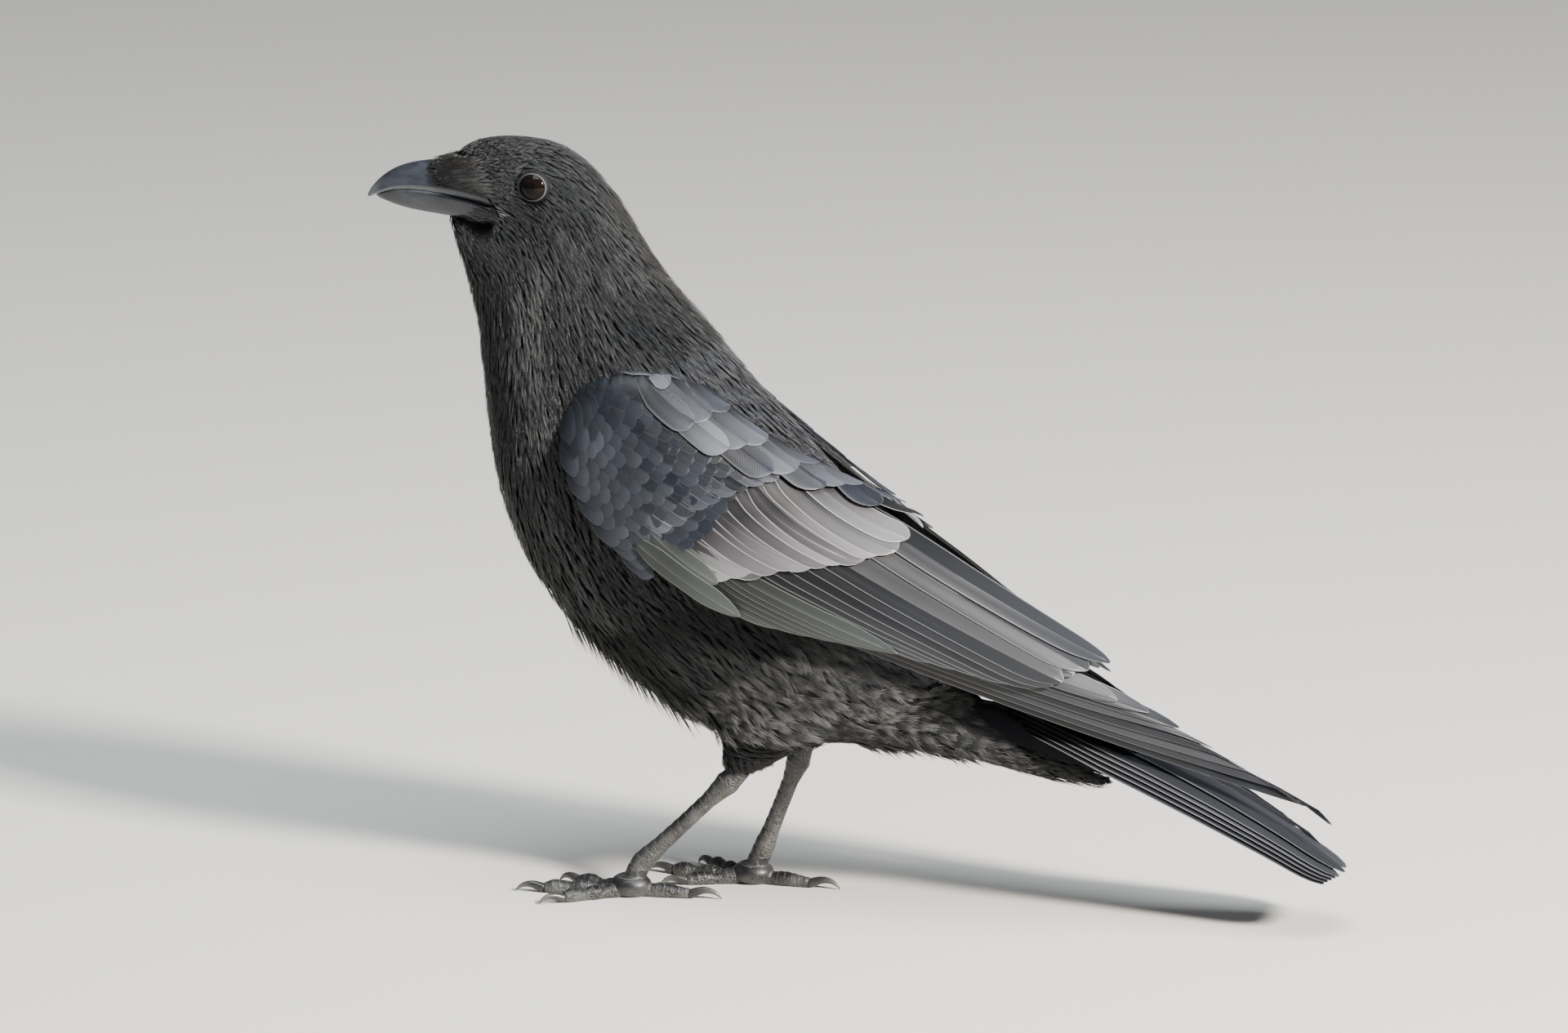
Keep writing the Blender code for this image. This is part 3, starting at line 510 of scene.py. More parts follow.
DOWN_LOOK = feather_material("flank_down", (0.003, 0.0029, 0.0028), (0.048, 0.0465, 0.044),
    (0.27, 0.263, 0.25), (0.016, 0.016, 0.016), tip_share=0.65, patch=50.0, painted_root_shade=0.85,
    rough=(0.42, 0.62), bump=0.3, gloss=0.4, sheen_weight=0.1)
BRISTLE_LOOK = feather_material("nasal_bristles", (0.011, 0.0098, 0.0085), (0.045, 0.040, 0.034),
    (0.10, 0.092, 0.08), (0.018, 0.016, 0.014), tip_share=0.4, patch=120.0, rough=(0.34, 0.55), bump=0.1,
    gloss=0.5)
GAPE_LOOK = feather_material("gape_strands", (0.050, 0.050, 0.050), (0.15, 0.15, 0.147),
    (0.28, 0.28, 0.275), (0.07, 0.07, 0.07), tip_share=0.3, patch=120.0, painted_root_shade=0.0, rough=(0.4, 0.6),
    bump=0.1)
COVERT_LOOK = feather_material("wing_coverts", (0.0026, 0.0030, 0.0048), (0.050, 0.054, 0.068),
    (0.16, 0.165, 0.185), (0.0075, 0.010, 0.018), rim_share=0.28, rim_start=0.84, tip_share=0.28,
    patch=90.0, painted_root_shade=0.88, rough=(0.36, 0.5), pitch=0.55, bump=0.16, uneven=0.5, gloss=0.27,
    sheen_weight=0.03)
LESSER_LOOK = feather_material("lesser_coverts", (0.0022, 0.0026, 0.0042), (0.019, 0.022, 0.0295),
    (0.085, 0.09, 0.105), (0.005, 0.007, 0.0125), rim_share=0.14, rim_start=0.8, tip_share=0.2, patch=110.0,
    painted_root_shade=0.6, rough=(0.38, 0.54), pitch=0.5, bump=0.25, uneven=0.9, gloss=0.2, sheen_weight=0.03)
GREATER_LOOK = feather_material("greater_coverts", (0.011, 0.0105, 0.012), (0.165, 0.158, 0.168),
    (0.38, 0.372, 0.38), (0.030, 0.030, 0.034), rim_share=0.6, rim_start=0.9, tip_share=0.15, patch=60.0,
    painted_root_shade=0.88, rough=(0.34, 0.46), pitch=0.6, bump=0.06, uneven=0.4, gloss=0.4, sheen_weight=0.03)
FLIGHT_LOOK = feather_material("flight_feathers", (0.0040, 0.0045, 0.0060), (0.034, 0.036, 0.042),
    (0.19, 0.192, 0.20), (0.009, 0.011, 0.015), rim_share=0.55, rim_start=0.9, tip_share=0.05, patch=30.0,
    painted_root_shade=0.7, rough=(0.32, 0.44), pitch=0.6, bump=0.05, uneven=0.4, gloss=0.32, sheen_weight=0.03)
ALULA_LOOK = feather_material("alula_feathers", (0.012, 0.0145, 0.0138), (0.028, 0.0325, 0.0305),
    (0.15, 0.16, 0.15), (0.016, 0.021, 0.022), rim_share=0.7, rim_start=0.9, tip_share=0.1, patch=30.0,
    painted_root_shade=0.55, rough=(0.34, 0.46), pitch=0.6, bump=0.05, uneven=0.4, gloss=0.45)
print(len(bpy.data.materials), "materials so far")

skin_mesh.materials.clear()
skin_mesh.materials.append(SKIN_LOOK)

# %% [markdown]
# ## How small feathers are made and planted
# There are thousands of small feathers, so each kind is shaped once and then laid over the
# skin by arrays. Small feathers are tufts of a few narrow blades, as their barbs don't hold
# together as a wing feather's do. Every feather follows a short walk over the skin from its
# root along the lie, and rises from the skin towards its tip, so that it rests on the roots
# of those behind it. A feather's place on the flat map of the skin is a patch of fixed small
# size at its root, which is enough to carry its colour.

# %% Shapes of a blade and of a tuft


def make_blade(profile, offsets=(-1.0, 0.0, 1.0), heights=(0.0, 0.3, 0.0), under=()):
    """A closed thin blade along Y from 0 to 1.

    profile holds (along, half width) from root to tip, offsets and heights say how the top is
    arched across it, and under gives the offsets of points below. Returns the points, the
    triangles and each point's rim value.
    """
    points = [(0.0, 0.0, 0.0)]
    rims = [0.0]
    for along, width in profile:
        for across, height in zip(offsets, heights):
            points.append((across * width, along, height))
            rims.append(max(abs(across), 20 * along - 19))
        for across in under:
            points.append((across * width, along, -0.3))
            rims.append(0.0)
    points.append((0.0, 1.0, 0.0))
    rims.append(1.0)
    columns = len(offsets)
    row = columns + len(under)
    top = list(range(columns))
    low = [columns - 1, *range(columns, row), 0]
    faces = []
    for path in (top, low):
        for one, two in zip(path, path[1:]):
            faces.append((0, 1 + two, 1 + one))
            for k in range(len(profile) - 1):
                a, b = 1 + k * row + one, 1 + k * row + two
                faces.extend(((a, b, b + row), (a, b + row, a + row)))
            last = 1 + (len(profile) - 1) * row
            faces.append((last + one, last + two, len(points) - 1))
    return np.array(points), np.array(faces), np.array(rims)


def make_tuft(strands, profile, fan, ragged, seed):
    """Several narrow blades from one root: fan spreads their tips, ragged varies their length."""
    chance = np.random.default_rng(seed)
    points, faces, rims = [], [], []
    start = 0
    for k in range(strands):
        blade, triangles, rim = make_blade(profile)
        side = (k - (strands - 1) / 2) / max(strands - 1, 1) * 2
        length = 1 - ragged * chance.random() - 0.12 * abs(side)
        blade = blade.copy()
        blade[:, 1] *= length
        blade[:, 0] += side * fan * (0.35 + 0.65 * blade[:, 1] ** 0.8)
        blade[:, 2] += 0.5 * chance.random() * blade[:, 1]
        points.append(blade)
        faces.append(triangles + start)
        rims.append(rim * 0.3)
        start += len(blade)
    return np.concatenate(points), np.concatenate(faces), np.concatenate(rims)


WISPS = [make_tuft(3, ((0.45, 0.17),), 0.8, 0.35, seed) for seed in range(6)]
STRANDS = [make_tuft(4, ((0.3, 0.14), (0.65, 0.12)), 0.8, 0.4, seed) for seed in range(6)]
HACKLES = [make_tuft(3, ((0.25, 0.22), (0.5, 0.20), (0.75, 0.12)), 0.65, 0.3, seed) for seed in range(6)]
LOOSE = [make_tuft(9, ((0.35, 0.09), (0.7, 0.07)), 0.95, 0.35, seed) for seed in range(6)]
BRISTLE = make_blade(((0.2, 1.0), (0.45, 0.9), (0.7, 0.7), (0.88, 0.4)))
for label, shape in (("wisp", WISPS[0]), ("strands", STRANDS[0]), ("hackle", HACKLES[0]), ("loose", LOOSE[0]),
        ("bristle", BRISTLE)):
    print(label, len(shape[1]), "triangles")

# %% Scatter roots, comb them and plant a coat


def skin_triangles(mesh):
    """Corner points of a mesh's triangles in bird millimetres, and their areas."""
    mesh.calc_loop_triangles()
    corners = np.empty(len(mesh.loop_triangles) * 3, dtype=np.int32)
    mesh.loop_triangles.foreach_get("vertices", corners)
    spots = np.empty(len(mesh.vertices) * 3)
    mesh.vertices.foreach_get("co", spots)
    spots = spots.reshape(-1, 3) / MM - (SHIFT, 0, 0)
    corners = spots[corners.reshape(-1, 3)]
    areas = np.linalg.norm(np.cross(corners[:, 1] - corners[:, 0], corners[:, 2] - corners[:, 0]), axis=1) / 2
    return corners, areas


skin_corners, skin_areas = skin_triangles(skin_mesh)
skin_middles = skin_corners.mean(axis=1)
skin_station, skin_share = read_lie(skin_middles)[:2]


TRIES = 5    # candidate roots for each square of the spacing


def scatter(wanted, spacing, seed):
    """Roots spread evenly over the wanted skin triangles, none nearer than the spacing."""
    chance = np.random.default_rng(seed)
    chosen = np.flatnonzero(wanted)
    share = skin_areas[chosen] / skin_areas[chosen].sum()
    count = int(TRIES * skin_areas[chosen].sum() / spacing ** 2)
    picks = chosen[chance.choice(len(chosen), count, p=share)]
    u, v = np.sqrt(chance.random(count)), chance.random(count)
    corners = skin_corners[picks]
    spots = (corners[:, 0] * (1 - u)[:, None] + corners[:, 1] * (u * (1 - v))[:, None]
        + corners[:, 2] * (u * v)[:, None])
    taken = {}
    kept = []
    for k, (x, y, z) in enumerate(spots.tolist()):
        cell = (int(x // spacing), int(y // spacing), int(z // spacing))
        near = False
        for i in (-1, 0, 1):
            for j in (-1, 0, 1):
                for m in (-1, 0, 1):
                    other = taken.get((cell[0] + i, cell[1] + j, cell[2] + m))
                    if other:
                        apart = (other[0] - x) ** 2 + (other[1] - y) ** 2 + (other[2] - z) ** 2
                        near = near or apart < spacing ** 2
        if not near and cell not in taken:
            taken[cell] = (x, y, z)
            kept.append(k)
    return spots[kept]


def nearest_skin(points):
    """Nearest points and outward normals on the skin, in bird millimetres."""
    spots, normals = np.empty_like(points), np.empty_like(points)
    for k, spot in enumerate(place(points).tolist()):
        near, normal, _, _ = skin_tree.find_nearest(spot)
        spots[k] = near
        normals[k] = normal
    spots /= MM
    spots[:, 0] -= SHIFT
    return spots, normals


def comb(roots, lie, lengths, steps=4, cling=1.0):
    """Walk each feather over the skin: stops (feather, stop, xyz), and the normals there."""
    here, up = nearest_skin(roots)
    heading = lie
    stops, normals = [here], [up]
    for _ in range(steps):
        heading = unit(heading - up * (heading * up).sum(1, keepdims=True))
        ahead = here + heading * (lengths / steps)[:, None]
        near, near_up = nearest_skin(ahead)
        cling_here = np.broadcast_to(cling, len(roots))[:, None]
        here = ahead + (near - ahead) * cling_here
        up = unit(up + (near_up - up) * cling_here)
        stops.append(here)
        normals.append(up)
    return np.stack(stops, 1), np.stack(normals, 1)


def clumps(station, turn, wide, long, seed):
    """Soft noise from 0 to 1 over the flat map of the skin, in clumps of a size in millimetres."""
    grid = np.random.default_rng(seed).random((64, 64))
    u, v = turn * 20.0 / wide, station * 13.0 / long
    i, j = np.floor(u).astype(int), np.floor(v).astype(int)
    u, v = u - i, v - j
    u, v = u * u * (3 - 2 * u), v * v * (3 - 2 * v)
    near = grid[i % 64, j % 64] * (1 - u) + grid[(i + 1) % 64, j % 64] * u
    far = grid[i % 64, (j + 1) % 64] * (1 - u) + grid[(i + 1) % 64, (j + 1) % 64] * u
    return near * (1 - v) + far * v


PATCH = 0.003


def feathers_to_mesh(name, parts, look, crisp=False):
    """Join planted parts, each a dict of arrays, into one mesh object; crisp keeps vane edges sharp."""
    points = np.concatenate([part["points"] for part in parts])
    faces = np.concatenate([part["faces"] + start for part, start in
        zip(parts, np.cumsum([0] + [len(part["points"]) for part in parts[:-1]]))])
    mesh = bpy.data.meshes.new(name)
    mesh.vertices.add(len(points))
    mesh.vertices.foreach_set("co", place(points).ravel())
    mesh.loops.add(faces.size)
    mesh.loops.foreach_set("vertex_index", faces.ravel().astype(np.int32))
    mesh.polygons.add(len(faces))
    mesh.polygons.foreach_set("loop_start", np.arange(0, faces.size, 3, dtype=np.int32))
    mesh.update(calc_edges=True)
    for key in ("tone", "rim", "along", "barb"):
        values = np.concatenate([part[key] for part in parts]).astype(np.float32)
        mesh.attributes.new(key, "FLOAT", "POINT").data.foreach_set("value", values)
    flat = np.concatenate([part["uv"] for part in parts])
    low, high = flat.min(axis=0), flat.max(axis=0)
    flat = (flat - low) / (high - low) * (1 - 4 * PATCH) + 2 * PATCH
    flat = flat + np.concatenate([part["patch"] for part in parts]) * PATCH
    mesh.uv_layers.new(name="OFBake").data.foreach_set("uv", flat[faces.ravel()].astype(np.float32).ravel())
    mesh.materials.append(look)
    mesh.shade_smooth()
    if crisp:
        mesh.set_sharp_from_angle(angle=math.radians(38.0))
    feathers = bpy.data.objects.new(name, mesh)
    bpy.context.scene.collection.objects.link(feathers)
    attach(feathers, "root")
    print(name, len(faces), "triangles")
    return feathers


def on_map(template, root, strip=None):
    """A feather's place on the colour map: a patch at its root, or a strip of its own."""
    across = template[:, 0] / np.abs(template[:, 0]).max()
    if strip is None:
        return np.tile(root, (len(template), 1)), np.stack([across / 2, template[:, 1] - 0.5], axis=1)
    number, count = strip
    level = (number + 0.5 + 0.45 * across) / count
    return np.stack([template[:, 1], level], axis=1), np.zeros((len(template), 2))


def lay(shape, stops, normals, widths, thick, rise, tones, flat_places):
    """Bend one shape along each feather's stops. rise is the height over the skin at root and tip."""
    template, triangles, rims = shape
    count, steps = len(stops), stops.shape[1] - 1
    reach = np.clip(template[:, 1], 0, 1) * steps
    low = np.minimum(reach.astype(int), steps - 1)
    mix = (reach - low)[None, :, None]
    spine = stops[:, low] * (1 - mix) + stops[:, low + 1] * mix
    up = unit(normals[:, low] * (1 - mix) + normals[:, low + 1] * mix)
    tangent = unit(stops[:, low + 1] - stops[:, low])
    side = unit(np.cross(tangent, up))
    root_rise, tip_rise = (np.broadcast_to(value, count)[:, None] for value in rise)
    height = root_rise + (tip_rise - root_rise) * template[:, 1] ** 0.8 + template[:, 2] * thick
    points = spine + side * (template[:, 0] * widths[:, None] / 2)[..., None] + up * height[..., None]
    lengths = np.linalg.norm(np.diff(stops, axis=1), axis=2).sum(1)
    along = np.broadcast_to(template[:, 1], (count, len(template)))
    barb = along * lengths[:, None] - np.abs(template[:, 0]) * widths[:, None] * 0.7
    reach_x = np.abs(template[:, 0]).max()
    patch = np.stack([template[:, 0] / reach_x / 2, template[:, 1] - 0.5], axis=1)
    faces = triangles[None] + (np.arange(count) * len(template))[:, None, None]
    return {"points": points.reshape(-1, 3), "faces": faces.reshape(-1, 3), "along": along.ravel(),
        "tone": np.repeat(tones, len(template)), "rim": np.tile(rims, count), "barb": barb.ravel(),
        "uv": np.repeat(flat_places, len(template), axis=0), "patch": np.tile(patch, (count, 1))}


def plant_coat(name, wanted, spacing, length, width, shapes, look, rise, seed, stray=6.0, cling=1.0,
        lie_of=None, shade=None, spread=0.24, thick=0.25, clump=0.35, clump_size=1.0, hang=0.0):
    """Plant one zone of the coat. length is a number or a function of (roots, station, share).

    lie_of bends the lie, shade gives each root's tone, where painted light and shade go in, spread
    is how much tones differ from feather to feather, clump from clump to clump in clumps of a
    size, and hang is how far the tips sink.
    """
    chance = np.random.default_rng(seed)
    roots = scatter(wanted, spacing, seed)
    station, share, turn, lie = read_lie(roots)
    if lie_of:
        lie = lie_of(roots, lie)
    count = len(roots)
    lengths = length(roots, station, share) if callable(length) else np.full(count, float(length))
    widths = np.full(count, float(width))
    lengths = lengths * chance.uniform(0.82, 1.15, count)
    stray = np.radians(chance.normal(0, stray, count))[:, None]
    up = nearest_skin(roots)[1]
    lie = unit(lie - up * (lie * up).sum(1, keepdims=True))
    lie = lie * np.cos(stray) + np.cross(up, lie) * np.sin(stray)
    stops, normals = comb(roots, lie, lengths, cling=cling)
    stops[..., 2] -= hang * np.linspace(0, 1, stops.shape[1]) ** 2
    # Clumps differ in tone at random, and the paler ones also stand higher, so their tops carry a painted
    # highlight.
    middle = shade(roots) if shade else 0.5
    clumped = (clumps(station, turn, 2.4 * clump_size, 11.0 * clump_size ** 0.3, seed)
        + clumps(station, turn, 5.0, 17.0, seed + 50) - 1)
    tones = np.clip(chance.normal(0, spread, count) + middle + clump * clumped, 0, 1)
    flat_places = np.stack([station, turn], axis=1)
    tip_rise = rise[1] * chance.uniform(0.7, 1.3, count) * (1 + 0.5 * clumped)
    kinds = chance.integers(0, len(shapes), count)
    parts = []
    for kind, shape in enumerate(shapes):
        mine = kinds == kind
        parts.append(lay(shape, stops[mine], normals[mine], widths[mine], thick, (rise[0], tip_rise[mine]),
            tones[mine], flat_places[mine]))
    return feathers_to_mesh(name, parts, look)


# %% [markdown]
# ## Zones of the coat
# The coat isn't the same everywhere, so the skin is cut into zones by station along the bird
# and by share from back to belly. Nothing may grow on the bill or inside the eye's ring, so
# those are found by distance and by angle from the eye's own axis.

# %% Clear of eyes and bill
EYE_FORWARD = math.radians(9.0)
EYE_UP = math.radians(3.0)
EYE_CLEAR = math.radians(57.0)
EYE_REACH = 8.5
eye_places = [np.array([*(sum(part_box("eye_" + side), Vector()) / 2)]) / MM - (SHIFT, 0, 0)
    for side in ("left", "right")]
eye_axes = [unit(np.array([-math.sin(EYE_FORWARD), sign * math.cos(EYE_FORWARD), math.sin(EYE_UP)]))
    for sign in (-1, 1)]


def off_eyes(spots):
    """Whether points lie outside both eyes' openings."""
    clear = np.ones(len(spots), dtype=bool)
    for middle, axis in zip(eye_places, eye_axes):
        off = spots - middle
        away = np.linalg.norm(off, axis=1)
        angle = np.arccos(np.clip(off @ axis / away, -1, 1))
        clear &= (away > EYE_REACH) | (angle > EYE_CLEAR)
    return clear


bill_trees = BVHTree.FromBMesh(merged("bill_upper")), BVHTree.FromBMesh(merged("bill_lower"))


def outside_bill(spots, gap, depth=3.0):
    """Whether points lie outside both halves of the bill by more than a gap."""
    clear = np.ones(len(spots), dtype=bool)
    for k, spot in enumerate(place(spots)):
        for tree in bill_trees:
            near, normal, _, away = tree.find_nearest(spot)
            outwards = Vector(spot - np.array(near)).dot(normal) > 0
            clear[k] &= away > depth * MM or (outwards and away > gap * MM)
    return clear


body = off_eyes(skin_middles) & outside_bill(skin_middles, 0.2) & ~on_bare_horn(skin_middles, 0.3)
print("eyes at", [middle.round(1).tolist() for middle in eye_places])

# %% [markdown]
# ## How the lie bends, and where light and shade are painted
# Round the eye the small feathers part like water round a stone, and they are shorter there.
# The corner of the bill sits in a hollow whose shade is painted black, with more painted shade
# on the lores and under the eye and a painted sheen on crown and brow. Down the side of the
# neck and breast runs a band of hackles painted bright as a highlight, between the throat and
# a soft crease that are painted dark as shade. All are plain functions of a feather's root.

# %% Lie round the eyes, painted light and shade of face and neck
GAPE = (-69.0, 251.0)
GAPE_PAINTED_SHADE = 4.5
# Painted light: hackles along this band are painted bright as a highlight, and the crease behind it is
# painted dark as shade.
PAINTED_LIT_BAND = (    # z, x of the bright band down neck and breast
    (60.0, -6.0), (109.5, -30.0), (147.0, -47.0), (180.0, -53.0), (215.0, -58.0), (240.0, -58.0),
)
PAINTED_CREASE_SHADE = 9.0    # how far behind the lit band the dark crease runs


def round_eyes(roots, lie):
    """Bend the lie so that feathers pass round each eye."""
    for middle in eye_places:
        off = roots - middle
        away = np.linalg.norm(off, axis=1)
        near = np.clip((12.0 - away) / 4.5, 0, 1)[:, None]
        ray = off / away[:, None]
        towards = np.minimum((lie * ray).sum(1, keepdims=True), 0)
        past = np.stack([-ray[:, 2], np.zeros(len(ray)), ray[:, 0]], axis=1)
        past *= np.where((past * lie).sum(1, keepdims=True) < 0, -1, 1)
        lie = unit(lie - 1.1 * near * towards * ray - 0.5 * near * towards * past + 0.12 * near * ray)
    return lie


def face_length(roots, station, share):
    """Short on the forehead and round the eyes, longer towards the nape and the throat."""
    lengths = np.interp(station, (0.0, 2.0, 4.0, 5.5), (2.4, 2.7, 3.8, 5.2))
    for middle in eye_places:
        away = np.linalg.norm(roots - middle, axis=1)
        lengths = lengths * np.interp(away, (6.5, 11.0), (0.5, 1.0))
    return lengths


def bump_at(roots, x, z, wide, tall):
    """One at a place on the bird's side, fading to none around it."""
    return np.exp(-((roots[:, 0] - x) / wide) ** 2 - ((roots[:, 2] - z) / tall) ** 2)


def face_painted_light(roots):
    """Painted shade round the bill's corner, on the lores and under the eye; painted sheen on crown and brow.
    """
    dark = 0.45 * bump_at(roots, GAPE[0], GAPE[1], GAPE_PAINTED_SHADE, GAPE_PAINTED_SHADE)
    dark += 0.3 * bump_at(roots, -66, 266, 5, 7)
    dark += 0.32 * bump_at(roots, -56, 250, 9, 9)
    return 0.38 - dark + 0.9 * bump_at(roots, -52, 280, 16, 9) + 0.4 * bump_at(roots, -34, 264, 9, 12)


def neck_painted_light(roots):
    """Painted highlight along the lit band on both sides; painted shade on the throat, in the crease and low
    down.
    """
    band = np.interp(roots[:, 2], *np.array(PAINTED_LIT_BAND).T)
    on_side = np.clip((np.abs(roots[:, 1]) - 4.0) / 8.0, 0, 1)
    near = np.exp(-((roots[:, 0] - band) / 7.5) ** 2)
    crease = np.exp(-((roots[:, 0] - band - PAINTED_CREASE_SHADE) / 3.5) ** 2)
    behind = np.clip((roots[:, 0] - band - PAINTED_CREASE_SHADE) / 20.0, 0, 1)
    return 0.22 + on_side * (0.62 * near + 0.1 * behind - 0.2 * crease)


# %% [markdown]
# ## Planting the head
# Face and crown have the finest feathers, like short soft hair. The ear coverts behind the eye
# are longer, with a painted green sheen, and the throat's are loose and stand off.

# %% Coat of the head
EAR = (-38.0, 250.5, 10.5, 16.0)
in_ear = (((skin_middles[:, 0] - EAR[0]) / EAR[2]) ** 2 + ((skin_middles[:, 2] - EAR[1]) / EAR[3]) ** 2 < 1)
in_ear &= (skin_share > 0.25) & (skin_share < 0.85)
in_throat = (skin_station < 6.0) & (skin_share > 0.8) & ~in_ear
nasal_height = (skin_middles[:, 2] > 262.8) & (skin_middles[:, 2] < 276.3)
ragged = 1.3 * np.sin(skin_middles[:, 2] * 2.1 + skin_middles[:, 1])
parting = -70.5 - 0.45 * (skin_middles[:, 2] - 263) + ragged
in_nasal = (skin_middles[:, 0] < parting) & nasal_height
on_head = body & (skin_station < CROWN) & ~in_ear & ~in_throat
on_head &= ~((skin_middles[:, 0] < parting - 3.5) & nasal_height)
plant_coat("coat_face", on_head & (skin_station < 3.3), 0.66, face_length, 0.85, WISPS, FACE_LOOK,
    (0.0, 0.45), 11, lie_of=round_eyes, shade=face_painted_light, spread=0.14, thick=0.16)
plant_coat("coat_crown", on_head & (skin_station >= 3.3), 0.68, face_length, 0.95, WISPS, FACE_LOOK,
    (0.0, 0.5), 12, lie_of=round_eyes, shade=face_painted_light, spread=0.14, thick=0.16)


def ear_painted_sheen(roots):
    """Painted sheen, brightest in the middle of the ear coverts."""
    return 0.42 + 0.45 * bump_at(roots, *EAR)


plant_coat("coat_ear", body & in_ear, 0.85, 6.5, 0.9, STRANDS, EAR_LOOK, (0.1, 0.85), 13, lie_of=round_eyes,
    stray=5.0, shade=ear_painted_sheen, spread=0.2, thick=0.16)


def throat_length(roots, station, share):
    """Short beside the bill's foot, long on the throat."""
    edge = np.interp(roots[:, 0], *np.array(BARE_HORN).T)
    return np.interp(edge - roots[:, 2], (0.0, 4.0), (2.4, 5.6))


plant_coat("coat_throat", body & in_throat, 1.0, throat_length, 1.1, STRANDS, FACE_LOOK, (0.0, 1.2), 14,
    shade=face_painted_light, stray=13.0, cling=0.75, spread=0.2, thick=0.2, hang=0.6)

in_chin = (skin_middles[:, 0] < -70) & (skin_middles[:, 2] > 242) & (skin_middles[:, 2] < 255)


def under_bill(roots, lie):
    """Back and down from the lower bill, a little outwards."""
    outwards = 0.35 * np.sign(roots[:, 1])
    return unit(np.stack([np.full(len(roots), 0.75), outwards, np.full(len(roots), -0.75)], axis=1))


plant_coat("coat_chin", body & in_chin, 0.95, throat_length, 1.2, STRANDS, FACE_LOOK, (0.1, 1.1), 28,
    lie_of=under_bill, stray=12.0, cling=0.55, spread=0.2, thick=0.2, hang=1.2)

# %% [markdown]
# ## Nasal bristles
# Stiff brown-grey bristles cover a crow's nostrils. They lie forward, against the rest of the
# coat, and all end along one slanting front edge, so each is as long as its root is far from
# that edge.

# %% Bristles over the nostrils
BRISTLE_EDGE = (    # z, x of the slanting front edge
    (263.0, -77.5), (264.7, -84.0), (265.6, -91.0), (269.0, -96.0), (273.0, -98.0), (277.0, -96.0),
)


def bristle_length(roots, station, share):
    """From the root to the front edge of the bristles."""
    edge = np.interp(roots[:, 2], *np.array(BRISTLE_EDGE).T) + np.sin(roots[:, 1] * 9.0 + roots[:, 2] * 7.0)
    return np.clip(roots[:, 0] - edge, 2.5, 18.0)


def forwards(roots, lie):
    """Forwards and a little down."""
    return unit(np.broadcast_to((-1.0, 0.0, -0.16), lie.shape))


plant_coat("nasal_bristles", body & in_nasal, 0.72, bristle_length, 1.0, STRANDS, BRISTLE_LOOK, (0.1, 1.1),
    25, lie_of=forwards, stray=4.0, spread=0.25, thick=0.3)
culmen_tufts = body & in_nasal & (np.abs(skin_middles[:, 1]) < 3.0) & (skin_middles[:, 0] < -82)
plant_coat("culmen_bristles", culmen_tufts, 1.6, 5.0, 0.8, STRANDS, BRISTLE_LOOK, (0.1, 1.7), 26,
    lie_of=forwards, stray=16.0, cling=0.5, thick=0.3)

# %% [markdown]
# ## Planting neck, breast, back and belly
# The nape is fine and smooth. The neck has narrow hackles whose tips shine with a painted
# highlight, and the breast longer ones. The back has broader, glossier ones. Belly and thighs
# are loose and hair-like, and under the tail the strands are paler, as a painted sheen. Dense
# overlap hides the skin, as on the bird.

# %% Coat of the body
is_thigh = (skin_middles[:, 2] < 66) & (skin_middles[:, 0] < 62)
low_half = skin_share > 0.35
nape = body & (skin_station >= CROWN) & (skin_station < NAPE + 0.8) & ~in_ear & ~in_throat
neck = body & (skin_station >= NAPE + 0.8) & (skin_station < SHOULDERS)
torso = body & (skin_station >= SHOULDERS) & ~is_thigh
plant_coat("coat_nape", nape, 1.0, 6.5, 1.15, STRANDS, FACE_LOOK, (0.0, 0.8), 15, shade=face_painted_light,
    spread=0.14, thick=0.18)
upper_neck = skin_station < 9.3
for name, zone, seed in (("coat_neck", neck & upper_neck, 16), ("coat_collar", neck & ~upper_neck, 27)):
    plant_coat(name, zone, 1.12, 9.5, 1.3, HACKLES, NECK_LOOK, (0.2, 1.5), seed, stray=6.0, shade=neck_painted_light,
        thick=0.2)
plant_coat("coat_breast", torso & low_half & (skin_station < BELLY - 0.5), 1.6, 10.0, 1.8, HACKLES,
    NECK_LOOK, (0.2, 1.8), 17, stray=8.0, shade=neck_painted_light, thick=0.24)
plant_coat("coat_back", torso & ~low_half, 1.85, 11.0, 2.6, HACKLES, BACK_LOOK, (0.2, 1.4), 18, spread=0.2)
plant_coat("coat_belly", torso & low_half & (skin_station >= BELLY - 0.5) & (skin_station < VENT), 1.55,
    12.5, 1.8, STRANDS, BELLY_LOOK, (0.2, 1.8), 19, stray=8.0)
plant_coat("coat_thighs", is_thigh, 1.25, 8.5, 1.4, STRANDS, BELLY_LOOK, (0.1, 0.9), 20, stray=8.0)
plant_coat("coat_undertail", torso & low_half & (skin_station >= VENT), 1.6, 12.0, 2.0, STRANDS, DOWN_LOOK,
    (0.3, 1.8), 21, stray=8.0)

# %% [markdown]
# ## Loose fringes
# Strands hang free before the thigh, at its foot and at the vent. They are planted as the
# rest is, but hold less to the skin.

# %% Fringes


def down_leg(roots, lie):
    """Down and a little back, along the leg."""
    return unit(np.broadcast_to((0.12, 0.0, -1.0), lie.shape))


